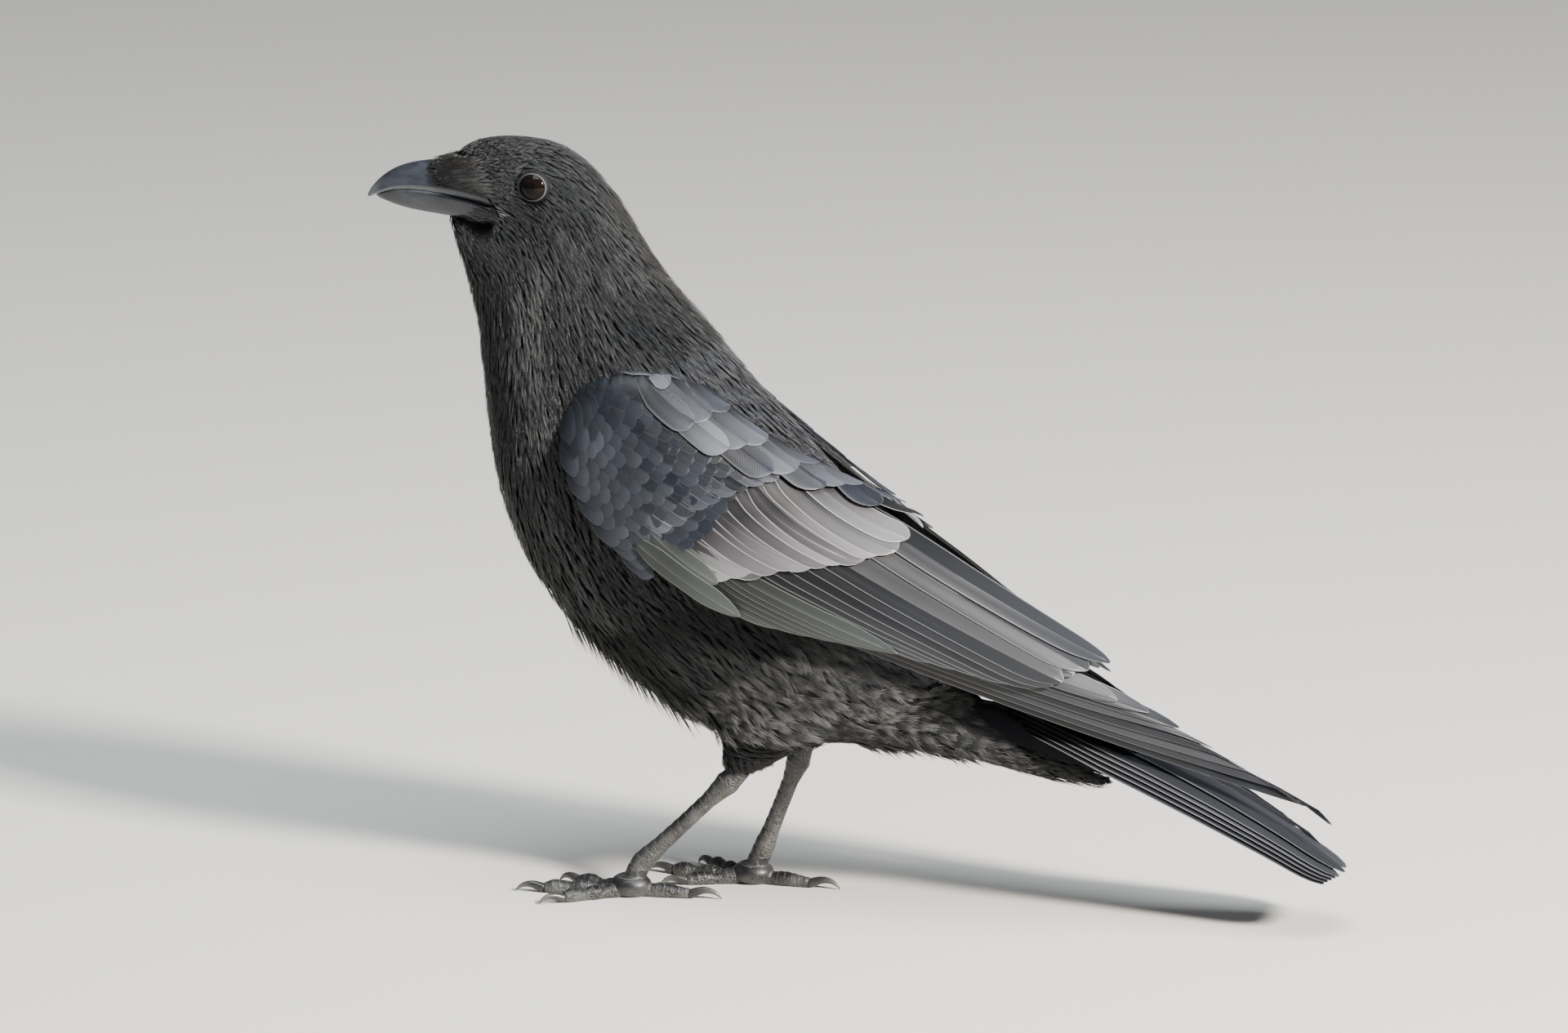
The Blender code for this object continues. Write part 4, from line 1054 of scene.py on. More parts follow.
along_keel = torso & (skin_share > 0.9)
before_thigh = along_keel & (skin_station > 13.9) & (skin_station < 15.9)
at_vent = along_keel & (skin_station > 16.9) & (skin_station < 19.3)
thigh_foot = is_thigh & (skin_middles[:, 2] < 58)
plant_coat("fringe_belly", before_thigh, 2.6, 14.0, 2.4, LOOSE, BELLY_LOOK, (0.3, 1.6), 22, stray=14.0,
    cling=0.1, hang=9.0)
plant_coat("fringe_vent", at_vent, 2.4, 12.0, 2.4, LOOSE, BELLY_LOOK, (0.3, 1.6), 23, stray=16.0, cling=0.2,
    hang=5.5)
plant_coat("fringe_thighs", thigh_foot, 1.5, 9.5, 2.0, LOOSE, BELLY_LOOK, (0.1, 1.0), 24, stray=10.0,
    cling=0.3, lie_of=down_leg)

# %% [markdown]
# ## Soft mounds of the flank
# Behind the thigh, below the wing's edge, big downy feathers lie in rounded mounds. Their
# vanes are too loose to show an edge, so each mound is a patch of loose strands that stand
# higher and are paler in its middle, a painted highlight on its top, which the clumped tones
# and heights of the coat give by themselves when the clumps are made large.

# %% Flank feathers
mounds = torso & (skin_share > 0.35) & (skin_station > 15.8) & (skin_station < 19.4)
plant_coat("flank_feathers", mounds, 1.9, 12.0, 3.4, LOOSE, DOWN_LOOK, (0.8, 2.6), 30, stray=16.0,
    cling=0.9, clump=0.75, clump_size=3.0, hang=1.0)

# %% [markdown]
# ## The folded wing's form
# A folded wing is a smooth shield. Its own axes make it simple: a runs back along it and c
# runs up across it, and a table gives its lower and upper edge for each a, with how far each
# stands out from the bird's middle. Between the edges the wing is a rounded arch that turns
# over its upper edge towards the back. Near that edge a step in c is a long way over the
# surface, so feathers are spread by q, the way along the arch itself, or they would stretch.
# Each feather has its depth under this form, or a little over it, which keeps the layers in
# order. The right wing is the left one mirrored, and hangs a little lower, as it does when a
# bird steps.

# %% Form of the wing
WING = (    # a, then c and sideways distance of the lower edge, then the same of the upper edge
    (2.0, -7.0, 34.0, 5.0, 29.0), (8.0, -16.0, 39.5, 13.0, 26.0), (18.0, -26.0, 43.5, 20.5, 21.0),
    (38.0, -36.5, 46.0, 25.5, 15.0), (58.0, -41.8, 46.8, 25.3, 11.0), (80.0, -42.3, 46.8, 23.0, 8.0),
    (96.0, -38.0, 46.0, 21.5, 6.0), (110.0, -34.2, 44.3, 20.8, 5.0), (126.0, -31.0, 42.0, 20.8, 4.0),
    (153.0, -22.5, 37.5, 19.8, 3.0), (200.0, -10.0, 30.0, 15.2, 3.0), (231.0, -2.8, 24.5, 11.9, 4.5),
    (262.0, 1.6, 19.0, 9.8, 7.0), (296.0, 3.2, 15.5, 8.0, 9.0), (322.0, 3.4, 14.0, 6.4, 10.5),
)
WING_FULL = 2.3
WING_PITCH = math.radians(28.8)
WING_ROOT = (-38.0, 195.0)
RIGHT_WING_DROOP = math.radians(2.8)
SHOULDER = (-15.0, 185.0)

WING_STEP = 0.5    # between the rows and between the columns of the form's grids
wing_reach = np.arange(2.0, 322.5, WING_STEP)
wing_edges = np.stack([np.interp(wing_reach, *np.array(WING)[:, (0, k)].T) for k in range(1, 5)], axis=1)
for _ in range(60):
    wing_edges[1:-1] = (wing_edges[:-2] + wing_edges[2:]) / 2

WING_Q = np.arange(-16.0, 72.0, WING_STEP)
WING_C = np.arange(-60.0, 32.0, WING_STEP)
FOLD = 5.0


def arch_of(low_c, low_y, high_c, high_y):
    """One section of the wing's form: sideways and c at each q, and q at each c."""
    turn = np.linspace(math.pi / 2, 0, 90)
    over = np.linspace(0, math.pi / 2, 16)[1:]
    fold = min(FOLD, high_y - 0.4)
    c = np.concatenate([[low_c - 16], low_c + (high_c - low_c) * np.cos(turn) ** (2 / WING_FULL),
        high_c - fold * (1 - np.cos(over)), [high_c - fold - 14]])
    out = np.concatenate([[low_y], high_y + (low_y - high_y) * np.sin(turn) ** (2 / WING_FULL),
        high_y - fold * np.sin(over), [high_y - fold]])
    reach = np.concatenate([[0], np.cumsum(np.hypot(np.diff(c), np.diff(out)))])
    reach -= reach[1]
    side = slice(0, len(turn) + 1)
    q_of_c = np.interp(WING_C, c[side], reach[side]) + 0.8 * np.maximum(WING_C - high_c, 0.0)
    return np.interp(WING_Q, reach, out), np.interp(WING_Q, reach, c), q_of_c


wing_arches = [arch_of(*edges) for edges in wing_edges]
wing_form = np.stack([np.stack([np.full(len(WING_Q), a), out, c], axis=-1)
    for a, (out, c, _) in zip(wing_reach, wing_arches)])
wing_normal = unit(np.cross(np.gradient(wing_form, axis=0), np.gradient(wing_form, axis=1)))
wing_normal *= -np.sign(wing_normal[100, 60, 1])
wing_q_of_c = np.stack([q for _, _, q in wing_arches])


def read_grid(grid, columns, a, column):
    """A value from a grid over the wing, between its rows and columns."""
    row = np.clip((a - wing_reach[0]) / WING_STEP, 0, len(wing_reach) - 1.001)
    place_in = np.clip((column - columns[0]) / WING_STEP, 0, len(columns) - 1.001)
    i, j = row.astype(int), place_in.astype(int)
    u, v = row - i, place_in - j
    if grid.ndim == 3:
        u, v = u[..., None], v[..., None]
    return ((grid[i, j] * (1 - u) + grid[i + 1, j] * u) * (1 - v)
        + (grid[i, j + 1] * (1 - u) + grid[i + 1, j + 1] * u) * v)


def wing_place(a, q, depth, side):
    """Points on a wing at a depth under its form, in bird millimetres."""
    a, q = np.asarray(a, dtype=float), np.asarray(q, dtype=float)
    normal = unit(read_grid(wing_normal, WING_Q, a, q))
    face = read_grid(wing_form, WING_Q, a, q) + normal * np.asarray(depth)[..., None]
    run, out, rise = face[..., 0], face[..., 1], face[..., 2]
    x = WING_ROOT[0] + run * math.cos(WING_PITCH) + rise * math.sin(WING_PITCH)
    z = WING_ROOT[1] - run * math.sin(WING_PITCH) + rise * math.cos(WING_PITCH)
    if side == "left":
        return np.stack([x, -out, z], axis=-1)
    x, z = x - SHOULDER[0], z - SHOULDER[1]
    swing = math.cos(RIGHT_WING_DROOP), math.sin(RIGHT_WING_DROOP)
    return np.stack([SHOULDER[0] + x * swing[0] + z * swing[1], out,
        SHOULDER[1] - x * swing[1] + z * swing[0]], axis=-1)


print("wing runs from", wing_place(2.0, 6.0, 0.0, "left").round(1), "to",
    wing_place(322.0, 3.0, 0.0, "left").round(1))

# %% [markdown]
# ## One wing feather
# A flight feather has a shaft that stands a little proud, a narrow vane on its outer side and
# a wide one on its inner side. In the folded wing each feather is covered by the next one
# above it, so only outer vanes and their pale rims show, like the edges of a pack of cards;
# the rims are painted pale, partly as wear and partly as a painted highlight. A feather here
# is one closed blade with fine rows across, bent along a line from its root to its tip, its
# inner side tilted under its neighbour.

# %% Shapes and placing of wing feathers
ACROSS = (-1.0, -0.9, -0.5, -0.07, 0.0, 0.07, 0.5, 1.0)
ARCH = (0.0, 0.35, 0.5, 0.55, 1.15, 0.55, 0.5, 0.0)


def vane_profile(root, full, tip_start, point, rows=16):
    """Half widths along a feather: a narrow root, even sides, and a tip from round to pointed."""
    stops = 1 - (1 - np.linspace(0.04, 0.985, rows)) ** 1.25
    widths = []
    for along in stops:
        width = root + (1 - root) * min(along / full, 1.0) ** 0.6
        if along > tip_start:
            width *= max(1 - ((along - tip_start) / (1 - tip_start)) ** point, 0.0) ** 0.55
        widths.append(max(width, 0.06))
    return tuple(zip(stops, widths))


SMALL_ROUND = make_blade(vane_profile(0.3, 0.35, 0.72, 2.2, 9), (-1.0, -0.5, 0.0, 0.5, 1.0),
    (0.0, 0.15, 0.2, 0.15, 0.0), (0.0,))
ROUNDED = make_blade(vane_profile(0.3, 0.35, 0.72, 2.2), ACROSS, ARCH, (0.3, -0.5))
LONG_ROUND = make_blade(vane_profile(0.35, 0.2, 0.86, 2.0, 20), ACROSS, ARCH, (0.3, -0.5))
POINTED = make_blade(vane_profile(0.35, 0.2, 0.7, 1.25, 20), ACROSS, ARCH, (0.3, -0.5))
VANE_THICK = 0.28


def quill_line(root, tip, bend, along):
    """A feather's middle line in a and q, from its root and tip in a and c and a sideways bend."""
    root, tip = np.array(root), np.array(tip)
    chord = tip - root
    normal = np.array([-chord[1], chord[0]]) / np.linalg.norm(chord)
    middle = (root + tip) / 2 + normal * bend
    share = along[:, None]
    line = (1 - share) ** 2 * root + 2 * share * (1 - share) * middle + share ** 2 * tip
    return np.stack([line[:, 0], read_grid(wing_q_of_c, WING_C, line[:, 0], line[:, 1])], axis=1)


def lay_quill(shape, root, tip, bend, outer, inner, depth, side, tone, tilt=0.4, strip=None):
    """One feather on a wing: root and tip, sideways bend, widths of its two vanes, depths.

    A small feather's place on the colour map is a patch at its root. A large one gets a strip
    of its own: strip is its number and how many there are.
    """
    template, triangles, rims = shape
    across, along = template[:, 0], template[:, 1]
    ahead, behind = quill_line(root, tip, bend, along + 0.02), quill_line(root, tip, bend, along - 0.02)
    heading = unit(ahead - behind)
    sideways = np.stack([-heading[:, 1], heading[:, 0]], axis=1)
    reach = np.where(across < 0, outer, inner) * across
    spot = quill_line(root, tip, bend, along) + sideways * reach[:, None]
    deep = depth[0] + (depth[1] - depth[0]) * along + tilt * across - template[:, 2] * VANE_THICK
    points = wing_place(spot[:, 0], spot[:, 1], deep, side)
    faces = triangles if side == "right" else triangles[:, ::-1]
    flat, patch = on_map(template, root, strip)
    return {"points": points, "faces": faces, "along": along, "tone": np.full(len(points), tone), "rim": rims,
        "barb": along * math.dist(root, tip) - np.abs(reach) * 0.7, "uv": flat, "patch": patch}


chance = np.random.default_rng(7)
print("wing feather:", len(LONG_ROUND[1]), "triangles")

# %% [markdown]
# ## Coverts
# Small coverts clothe the arm in short rows, then one row of middle coverts, then the long
# greater coverts that hide the roots of the flight feathers. The rows run across the wing,
# and each feather's tip lies on a curve from the lower edge to the upper one.

# %% Rows of coverts on both wings


def along_curve(stops, share):
    """A point on a curve through a few (a, c) stops, share from 0 to 1."""
    stops = np.array(stops, dtype=float)
    reach = np.concatenate([[0], np.cumsum(np.linalg.norm(np.diff(stops, axis=0), axis=1))])
    return np.array([np.interp(share * reach[-1], reach, stops[:, k]) for k in (0, 1)])


def own_tone():
    """A feather's own tone, near the middle."""
    return float(np.clip(chance.normal(0.5, 0.2), 0, 1))


def covert_row(side, tips, count, back, bend, widths, depth, shape, tilt=0.4):
    """A row of feathers whose tips lie on a curve; back is the way from each tip to its root."""
    parts = []
    for k in range(count):
        share = k / (count - 1)
        tip = along_curve(tips, share) + chance.normal(0, 0.45, 2)
        way = np.array(back[0]) * (1 - share) + np.array(back[1]) * share
        bent = bend * chance.uniform(0.8, 1.2)
        parts.append(lay_quill(shape, tip + way, tip, bent, *widths, depth, side, own_tone(), tilt))
    return parts


SMALL_ROWS, FIRST_ROW, ROW_STEP = 13, 6.0, 4.3    # how many rows of small coverts, and where


def small_covert_rows(side):
    """Rows of small coverts over the arm, each a bow from the lower edge to the upper one."""
    parts = []
    for row in range(SMALL_ROWS):
        reach = FIRST_ROW + ROW_STEP * row
        low, high = (float(np.interp(reach, wing_reach, wing_edges[:, k])) for k in (0, 2))
        steps = max(int((high - low) / 4.2), 3)
        for k in range(steps + 1):
            share = (k + 0.5 * (row % 2)) / steps
            bow = (5.0 + 0.35 * reach) * share * (1 - share) * 1.4
            tip = np.array([reach + 4.0 + bow + 0.10 * reach * share, low + 1.0 + (high - low - 1.0) * share])
            tip += chance.normal(0, 0.45, 2)
            root = tip - (10.5 + 0.1 * reach, -2.2 + 2.6 * share)
            # Painted light: lit makes the coverts paler towards the wing's lower edge, and a painted
            # highlight lies near the bend.
            painted_bend_highlight = math.exp(-((reach - 14) / 7) ** 2 - ((share - 0.3) / 0.15) ** 2)
            lit = 0.55 * (1 - share) - 0.35 + 0.5 * painted_bend_highlight
            tone = min(max(0.12 + 0.75 * own_tone() + lit, 0.0), 1.0)
            parts.append(lay_quill(SMALL_ROUND, root, tip, -0.6, 3.4, 3.4, (0.95, 0.4), side, tone, tilt=0.1))
    return parts


GREATER_TIPS = (    # a, c
    (78.0, -29.5), (88.6, -22.5), (99.9, -14.9), (112.0, -5.5), (127.0, 4.9), (136.5, 13.0), (134.0, 21.5),
)
MEDIAN_TIPS = ((56.0, -31.0), (60.0, -20.0), (66.0, -8.0), (74.0, 3.0), (84.0, 13.0), (90.0, 20.0))
for side in ("left", "right"):
    coverts = feathers_to_mesh(f"coverts_{side}", small_covert_rows(side), LESSER_LOOK, crisp=True)
    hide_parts(f"wing_coverts_{side}")
    parts = covert_row(side, MEDIAN_TIPS, 13, ((-24.0, 4.0), (-28.0, 4.0)), -2.0, (4.6, 4.8), (1.1, 0.5),
        ROUNDED, 0.2)
    feathers_to_mesh(f"median_coverts_{side}", parts, COVERT_LOOK, crisp=True)
    parts = covert_row(side, GREATER_TIPS, 15, ((-40.0, 2.0), (-58.0, 6.0)), -6.0, (5.5, 7.5), (1.9, 0.85),
        LONG_ROUND)
    feathers_to_mesh(f"greater_coverts_{side}", parts, GREATER_LOOK, crisp=True)

# %% [markdown]
# ## Scapulars
# The shoulder feathers lie over the top of the wing and hide its joint with the back.

# %% Shoulder feathers
SCAPULAR_ROWS = (
    (((30.0, 20.0), (38.0, 26.0), (44.0, 33.0)), 4),
    (((46.0, 15.5), (54.0, 22.0), (60.0, 31.0)), 5),
    (((62.0, 12.5), (72.0, 20.0), (78.0, 29.0)), 5),
    (((80.0, 13.5), (90.0, 19.0), (95.0, 26.0)), 4),
    (((98.0, 17.0), (110.0, 20.0), (112.0, 25.0)), 4),
    (((118.0, 18.6), (128.0, 21.0), (126.0, 24.0)), 3),
)
for side in ("left", "right"):
    parts = []
    for tips, count in SCAPULAR_ROWS:
        parts += covert_row(side, tips, count, ((-30.0, 5.0), (-30.0, 3.0)), -1.5, (7.0, 7.0), (0.3, -0.45),
            ROUNDED, 0.12)
    scapulars = feathers_to_mesh(f"scapulars_of_{side}_wing", parts, COVERT_LOOK, crisp=True)
    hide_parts(f"scapulars_{side}")

# %% [markdown]
# ## Flight feathers, alula and primary coverts
# These are the large feathers, so each is placed by its own tip. A row is a list of tips,
# from the feather on top to the one at the bottom of the pack, and each next one lies deeper.

# %% Large feathers of both wings
FEATHER_ROWS = {
    # name: shape, outer and inner vane, bend, first and last depth, (root, tip) from the top down
    "tertials": (LONG_ROUND, 6.0, 9.0, -2.0, 1.5, 2.3, (
        ((100.0, 17.0), (221.0, 12.4)), ((98.0, 12.0), (216.0, 8.2)), ((95.0, 6.0), (212.5, 4.2)))),
    "secondaries": (LONG_ROUND, 5.0, 8.0, -3.0, 1.7, 3.0, (
        ((88.0, 0.0), (210.5, -0.2)), ((86.0, -4.0), (208.0, -3.0)), ((84.0, -8.0), (204.5, -5.6)),
        ((82.0, -12.0), (198.0, -7.6)), ((80.0, -15.0), (190.0, -9.2)), ((79.0, -18.0), (181.0, -11.2)),
        ((78.0, -21.0), (171.0, -13.6)))),
    "primary_coverts": (POINTED, 2.6, 4.0, -2.5, 1.5, 2.6, (
        ((80.0, -25.0), (153.5, -20.8)), ((80.0, -27.0), (148.0, -22.8)), ((79.0, -29.0), (141.0, -25.0)),
        ((78.0, -31.0), (133.0, -27.6)), ((77.0, -33.0), (124.0, -30.4)), ((76.0, -35.0), (114.0, -33.0)))),
    "primaries_inner": (LONG_ROUND, 3.2, 7.0, -4.0, 3.0, 4.0, (
        ((100.0, -14.0), (231.0, 4.0)), ((100.0, -16.5), (243.0, 6.6)), ((100.0, -19.0), (255.5, 7.6)))),
    "primaries_mid": (POINTED, 3.0, 6.0, -5.0, 4.2, 5.2, (
        ((100.0, -21.0), (270.0, 7.4)), ((100.0, -23.5), (284.0, 7.0)), ((100.0, -26.0), (297.0, 6.6)))),
    "primaries_outer": (POINTED, 2.6, 5.0, -5.5, 5.4, 6.2, (
        ((100.0, -28.0), (309.0, 6.2)), ((100.0, -30.0), (321.5, 5.6)))),
    "alula": (POINTED, 3.0, 4.6, -2.5, 0.0, -0.9, (
        ((53.0, -27.0), (84.0, -30.5)), ((50.0, -33.0), (97.0, -36.6)))),
}
for side in ("left", "right"):
    for group, (shape, outer, inner, bend, top, bottom, ways) in FEATHER_ROWS.items():
        parts = []
        for k, (root, tip) in enumerate(ways):
            deep = top + (bottom - top) * k / max(len(ways) - 1, 1)
            parts.append(lay_quill(shape, root, tip, bend, outer, inner, (deep + 0.5, deep), side, own_tone(),
                strip=(k, len(ways))))
        look = ALULA_LOOK if group in ("alula", "primary_coverts") else FLIGHT_LOOK
        quills = feathers_to_mesh(f"{group}_of_{side}_wing", parts, look, crisp=True)
        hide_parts(f"{group}_{side}")

# %% [markdown]
# ## The tail
# Twelve tail feathers fold into a narrow roof: the middle pair lies on top and each next pair
# a little lower, so that only an outer edge of each shows from above.

# %% Tail feathers
TAIL = (    # x, height of the ridge, how far the edge lies out and down from it
    (112.0, 85.5, 15.0, 4.0), (140.0, 78.0, 17.5, 6.5), (171.0, 66.0, 19.0, 7.5), (200.0, 52.0, 20.0, 6.5),
    (225.0, 37.5, 21.0, 3.5), (248.0, 22.5, 20.0, 1.0),
)
TAIL_PAIRS = 6
RECTRIX = make_blade(vane_profile(0.5, 0.3, 0.9, 2.0, 20), ACROSS, ARCH, (0.3, -0.5))
tail_run = fine_run(TAIL)[1]


def lay_rectrix(start, tip, centre, half, depth, sign, tone, strip, run=tail_run):
    """One feather along the tail: centre and half width in shares of the half width there."""
    template, triangles, rims = RECTRIX
    x = start + (tip - start) * template[:, 1]
    across = centre + half * template[:, 0]
    ridge, out, down = (np.interp(x, run[:, 0], run[:, k]) for k in (1, 2, 3))
    spread = np.abs(across)
    inner = -sign * template[:, 0]
    drop = down * (0.35 * spread + 0.65 * spread ** 2) + depth + 0.35 * inner - template[:, 2] * VANE_THICK
    points = np.stack([x, out * across, ridge - drop], axis=1)
    barb = template[:, 1] * (tip - start) - np.abs(template[:, 0]) * half * 14.0
    flat, patch = on_map(template, None, strip)
    return {"points": points, "faces": triangles[:, ::-1], "along": template[:, 1],
        "tone": np.full(len(x), tone), "rim": rims, "barb": barb, "uv": flat, "patch": patch}


parts = []
for pair in range(TAIL_PAIRS):
    for sign in (-1, 1):
        middle = 0.17 if pair == 0 else 0.36 + 0.30 * pair / (TAIL_PAIRS - 1)
        depth = 1.1 * pair + (0.0 if sign < 0 else 0.45)
        tip = 248.0 - 1.2 * pair - 0.8 * (sign > 0)
        strip = (2 * pair + (sign > 0), 2 * TAIL_PAIRS)
        parts.append(lay_rectrix(112.0 + 3 * pair, tip, sign * middle, 0.34, depth, sign, own_tone(), strip))
tail = feathers_to_mesh("tail_feathers", parts, FLIGHT_LOOK, crisp=True)
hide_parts("tail_middle",
    *(f"tail_{side}_{k}" for side in ("left", "right") for k in range(1, TAIL_PAIRS)))

# %% [markdown]
# ## Under the tail
# Dark undertail coverts fill the space between the vent and the tail's underside. They are
# laid as the tail's feathers are, one under the other, each next one shorter.

# %% Undertail coverts
UNDERTAIL_LAYERS = 11
parts = []
for layer in range(UNDERTAIL_LAYERS):
    for sign in (-1, 1):
        tip = 196.0 - 5.0 * layer
        depth = 6.6 + 0.75 * layer + 0.3 * (sign > 0)
        strip = (2 * layer + (sign > 0), 2 * UNDERTAIL_LAYERS)
        parts.append(lay_rectrix(98.0, tip, sign * 0.26, 0.36, depth, sign, own_tone(), strip))
feathers_to_mesh("undertail_coverts", parts, BACK_LOOK, crisp=True)

# %% [markdown]
# ## Over the tail's root
# Short soft coverts step down from the rump to the tail and reach out under both wings. They
# could be one smooth wedge, but staggered rows show where each feather ends.

# %% Uppertail coverts
OVER_TAIL = (    # x, height of the ridge, how far the edge lies out and down from it
    (90.0, 119.0, 19.0, 14.0), (112.0, 106.0, 20.0, 13.0), (130.0, 90.5, 17.0, 8.5), (150.0, 78.0, 13.5, 5.0),
    (171.0, 68.2, 11.5, 4.0), (184.0, 62.0, 11.0, 4.0),
)
over_run = fine_run(OVER_TAIL)[1]
OVER_ROWS = 8
STAGGERED = ((-0.62, 0.0, 0.62), (-0.66, -0.24, 0.24, 0.66))
places_over = [(row, centre) for row in range(OVER_ROWS) for centre in STAGGERED[row % 2]]
parts = []
for number, (row, centre) in enumerate(places_over):
    tip = 176.0 - 8.0 * row - 7.0 * abs(centre)
    depth = -0.4 * row - 0.3 * (centre > 0)
    sign = 1 if centre > 0 else -1
    strip = (number, len(places_over))
    parts.append(lay_rectrix(92.0, tip, centre, 0.34, depth, sign, own_tone(), strip, over_run))
feathers_to_mesh("uppertail_coverts", parts, COVERT_LOOK, crisp=True)

# %% [markdown]
# ## Horn and scale materials
# Bill and claws are horn: smooth, slightly glossy, with fine lines along their growth and a
# pale worn tip. Legs are covered in leathery scales, darker and smoother in front.

# %% Node groups and materials for horn and scales


def make_growth_group():
    """Fine cloudy streaks and scratches in horn, and a mask of worn spots."""
    group, given, made = new_group("Horn growth", (
        ("Scale", "NodeSocketFloat", 260.0), ("Stretch", "NodeSocketFloat", 0.25)),
        (("Streaks", "NodeSocketFloat"), ("Worn", "NodeSocketFloat"), ("Height", "NodeSocketFloat")))
    where = add_node(group, "ShaderNodeTexCoord").outputs["Object"]
    drawn = add_node(group, "ShaderNodeCombineXYZ", {"Y": 1.0, "Z": 1.0}, {"X": given.outputs["Stretch"]})
    along = group.nodes.new("ShaderNodeVectorMath")
    along.operation = "MULTIPLY"
    group.links.new(where, along.inputs[0])
    group.links.new(drawn.outputs[0], along.inputs[1])
    streaks = add_node(group, "ShaderNodeTexNoise", {"Detail": 5.0, "Roughness": 0.65},
        {"Vector": along.outputs[0]})
    group.links.new(given.outputs["Scale"], streaks.inputs["Scale"])
    worn = add_node(group, "ShaderNodeTexNoise", {"Scale": 700.0, "Detail": 3.0}, {"Vector": where})
    group.links.new(streaks.outputs["Fac"], made.inputs["Streaks"])
    spots = add_node(group, "ShaderNodeMapRange", {1: 0.56, 2: 0.70}, {0: worn.outputs["Fac"]})
    group.links.new(spots.outputs[0], made.inputs["Worn"])
    height = math_node(group, "MULTIPLY_ADD", worn.outputs["Fac"], 0.4, streaks.outputs["Fac"])
    group.links.new(height, made.inputs["Height"])
    return group


def make_scales_group():
    """Small rounded scales with dark seams."""
    group, given, made = new_group("Leg scales", (("Scale", "NodeSocketFloat", 900.0),),
        (("Seam", "NodeSocketFloat"), ("Height", "NodeSocketFloat")))
    where = add_node(group, "ShaderNodeTexCoord").outputs["Object"]
    cells = add_node(group, "ShaderNodeTexVoronoi", {"feature": "DISTANCE_TO_EDGE"}, {"Vector": where})
    group.links.new(given.outputs["Scale"], cells.inputs["Scale"])
    seam = add_node(group, "ShaderNodeMapRange", {1: 0.0, 2: 0.16}, {0: cells.outputs["Distance"]})
    group.links.new(seam.outputs[0], made.inputs["Seam"])
    grain = add_node(group, "ShaderNodeTexNoise", {"Scale": 2500.0}, {"Vector": where})
    height = math_node(group, "MULTIPLY_ADD", grain.outputs["Fac"], 0.25, seam.outputs[0])
    group.links.new(height, made.inputs["Height"])
    return group


GROWTH = make_growth_group()
SCALES = make_scales_group()


def horn_material(name, dark, light, rough, tip_colour=(0.20, 0.21, 0.22), coat=0.1):
    """Horn whose colour runs with its growth and pales where the mesh says it is worn."""
    material = bpy.data.materials.new(name)
    material.use_nodes = True
    tree = material.node_tree
    shader = tree.nodes["Principled BSDF"]
    growth = add_node(tree, "ShaderNodeGroup", {"node_tree": GROWTH})
    streaks = add_node(tree, "ShaderNodeMapRange", {1: 0.32, 2: 0.68},
        {0: growth.outputs["Streaks"]}).outputs[0]
    base = mix_colour(tree, streaks, dark, light)
    base = mix_colour(tree, math_node(tree, "MULTIPLY", growth.outputs["Worn"], 0.6), base, light)
    tree.links.new(mix_colour(tree, attribute(tree, "worn"), base, tip_colour), shader.inputs["Base Color"])
    roughness = add_node(tree, "ShaderNodeMapRange", {3: rough[0], 4: rough[1]},
        {0: growth.outputs["Streaks"]})
    tree.links.new(roughness.outputs[0], shader.inputs["Roughness"])
    relief = add_node(tree, "ShaderNodeBump", {"Strength": 0.35, "Distance": 0.0002},
        {"Height": growth.outputs["Height"]})
    tree.links.new(relief.outputs["Normal"], shader.inputs["Normal"])
    shader.inputs["Coat Weight"].default_value = coat
    shader.inputs["Coat Roughness"].default_value = 0.28
    return material


def leg_material():
    """Leathery scales: black with grey seams, paler where the mesh says the small scales are."""
    material = bpy.data.materials.new("leg_scales")
    material.use_nodes = True
    tree = material.node_tree
    shader = tree.nodes["Principled BSDF"]
    scales = add_node(tree, "ShaderNodeGroup", {"node_tree": SCALES})
    where = add_node(tree, "ShaderNodeTexCoord").outputs["Object"]
    dust = add_node(tree, "ShaderNodeTexNoise", {"Scale": 160.0, "Detail": 3.0}, {"Vector": where})
    cloud = add_node(tree, "ShaderNodeMapRange", {1: 0.4, 2: 0.62}, {0: dust.outputs["Fac"]}).outputs[0]
    plate = mix_colour(tree, cloud, (0.006, 0.006, 0.0065), (0.026, 0.026, 0.027))
    small = mix_colour(tree, cloud, (0.011, 0.0108, 0.0105), (0.055, 0.054, 0.051))
    rough_share = attribute(tree, "worn")
    skin_colour = mix_colour(tree, rough_share, plate, small)
    seam = math_node(tree, "SUBTRACT", 1.0, scales.outputs["Seam"])
    seam = math_node(tree, "MULTIPLY", math_node(tree, "MULTIPLY", seam, 0.55), rough_share)
    scute = attribute(tree, "scute")
    lip = add_node(tree, "ShaderNodeMapRange", {1: 0.78, 2: 0.96}, {0: scute}).outputs[0]
    smooth_share = math_node(tree, "SUBTRACT", 1.0, rough_share)
    lip = math_node(tree, "MULTIPLY", smooth_share, math_node(tree, "MULTIPLY", lip, 0.5))
    pale = math_node(tree, "MAXIMUM", seam, lip)
    tree.links.new(mix_colour(tree, pale, skin_colour, (0.13, 0.127, 0.12)), shader.inputs["Base Color"])
    roughness = add_node(tree, "ShaderNodeMapRange", {3: 0.30, 4: 0.58}, {0: dust.outputs["Fac"]})
    tree.links.new(roughness.outputs[0], shader.inputs["Roughness"])
    small_relief = math_node(tree, "MULTIPLY", scales.outputs["Height"], rough_share)
    height = math_node(tree, "MULTIPLY_ADD", scute, 0.8, small_relief)
    relief = add_node(tree, "ShaderNodeBump", {"Strength": 0.6, "Distance": 0.0003}, {"Height": height})
    tree.links.new(relief.outputs["Normal"], shader.inputs["Normal"])
    return material


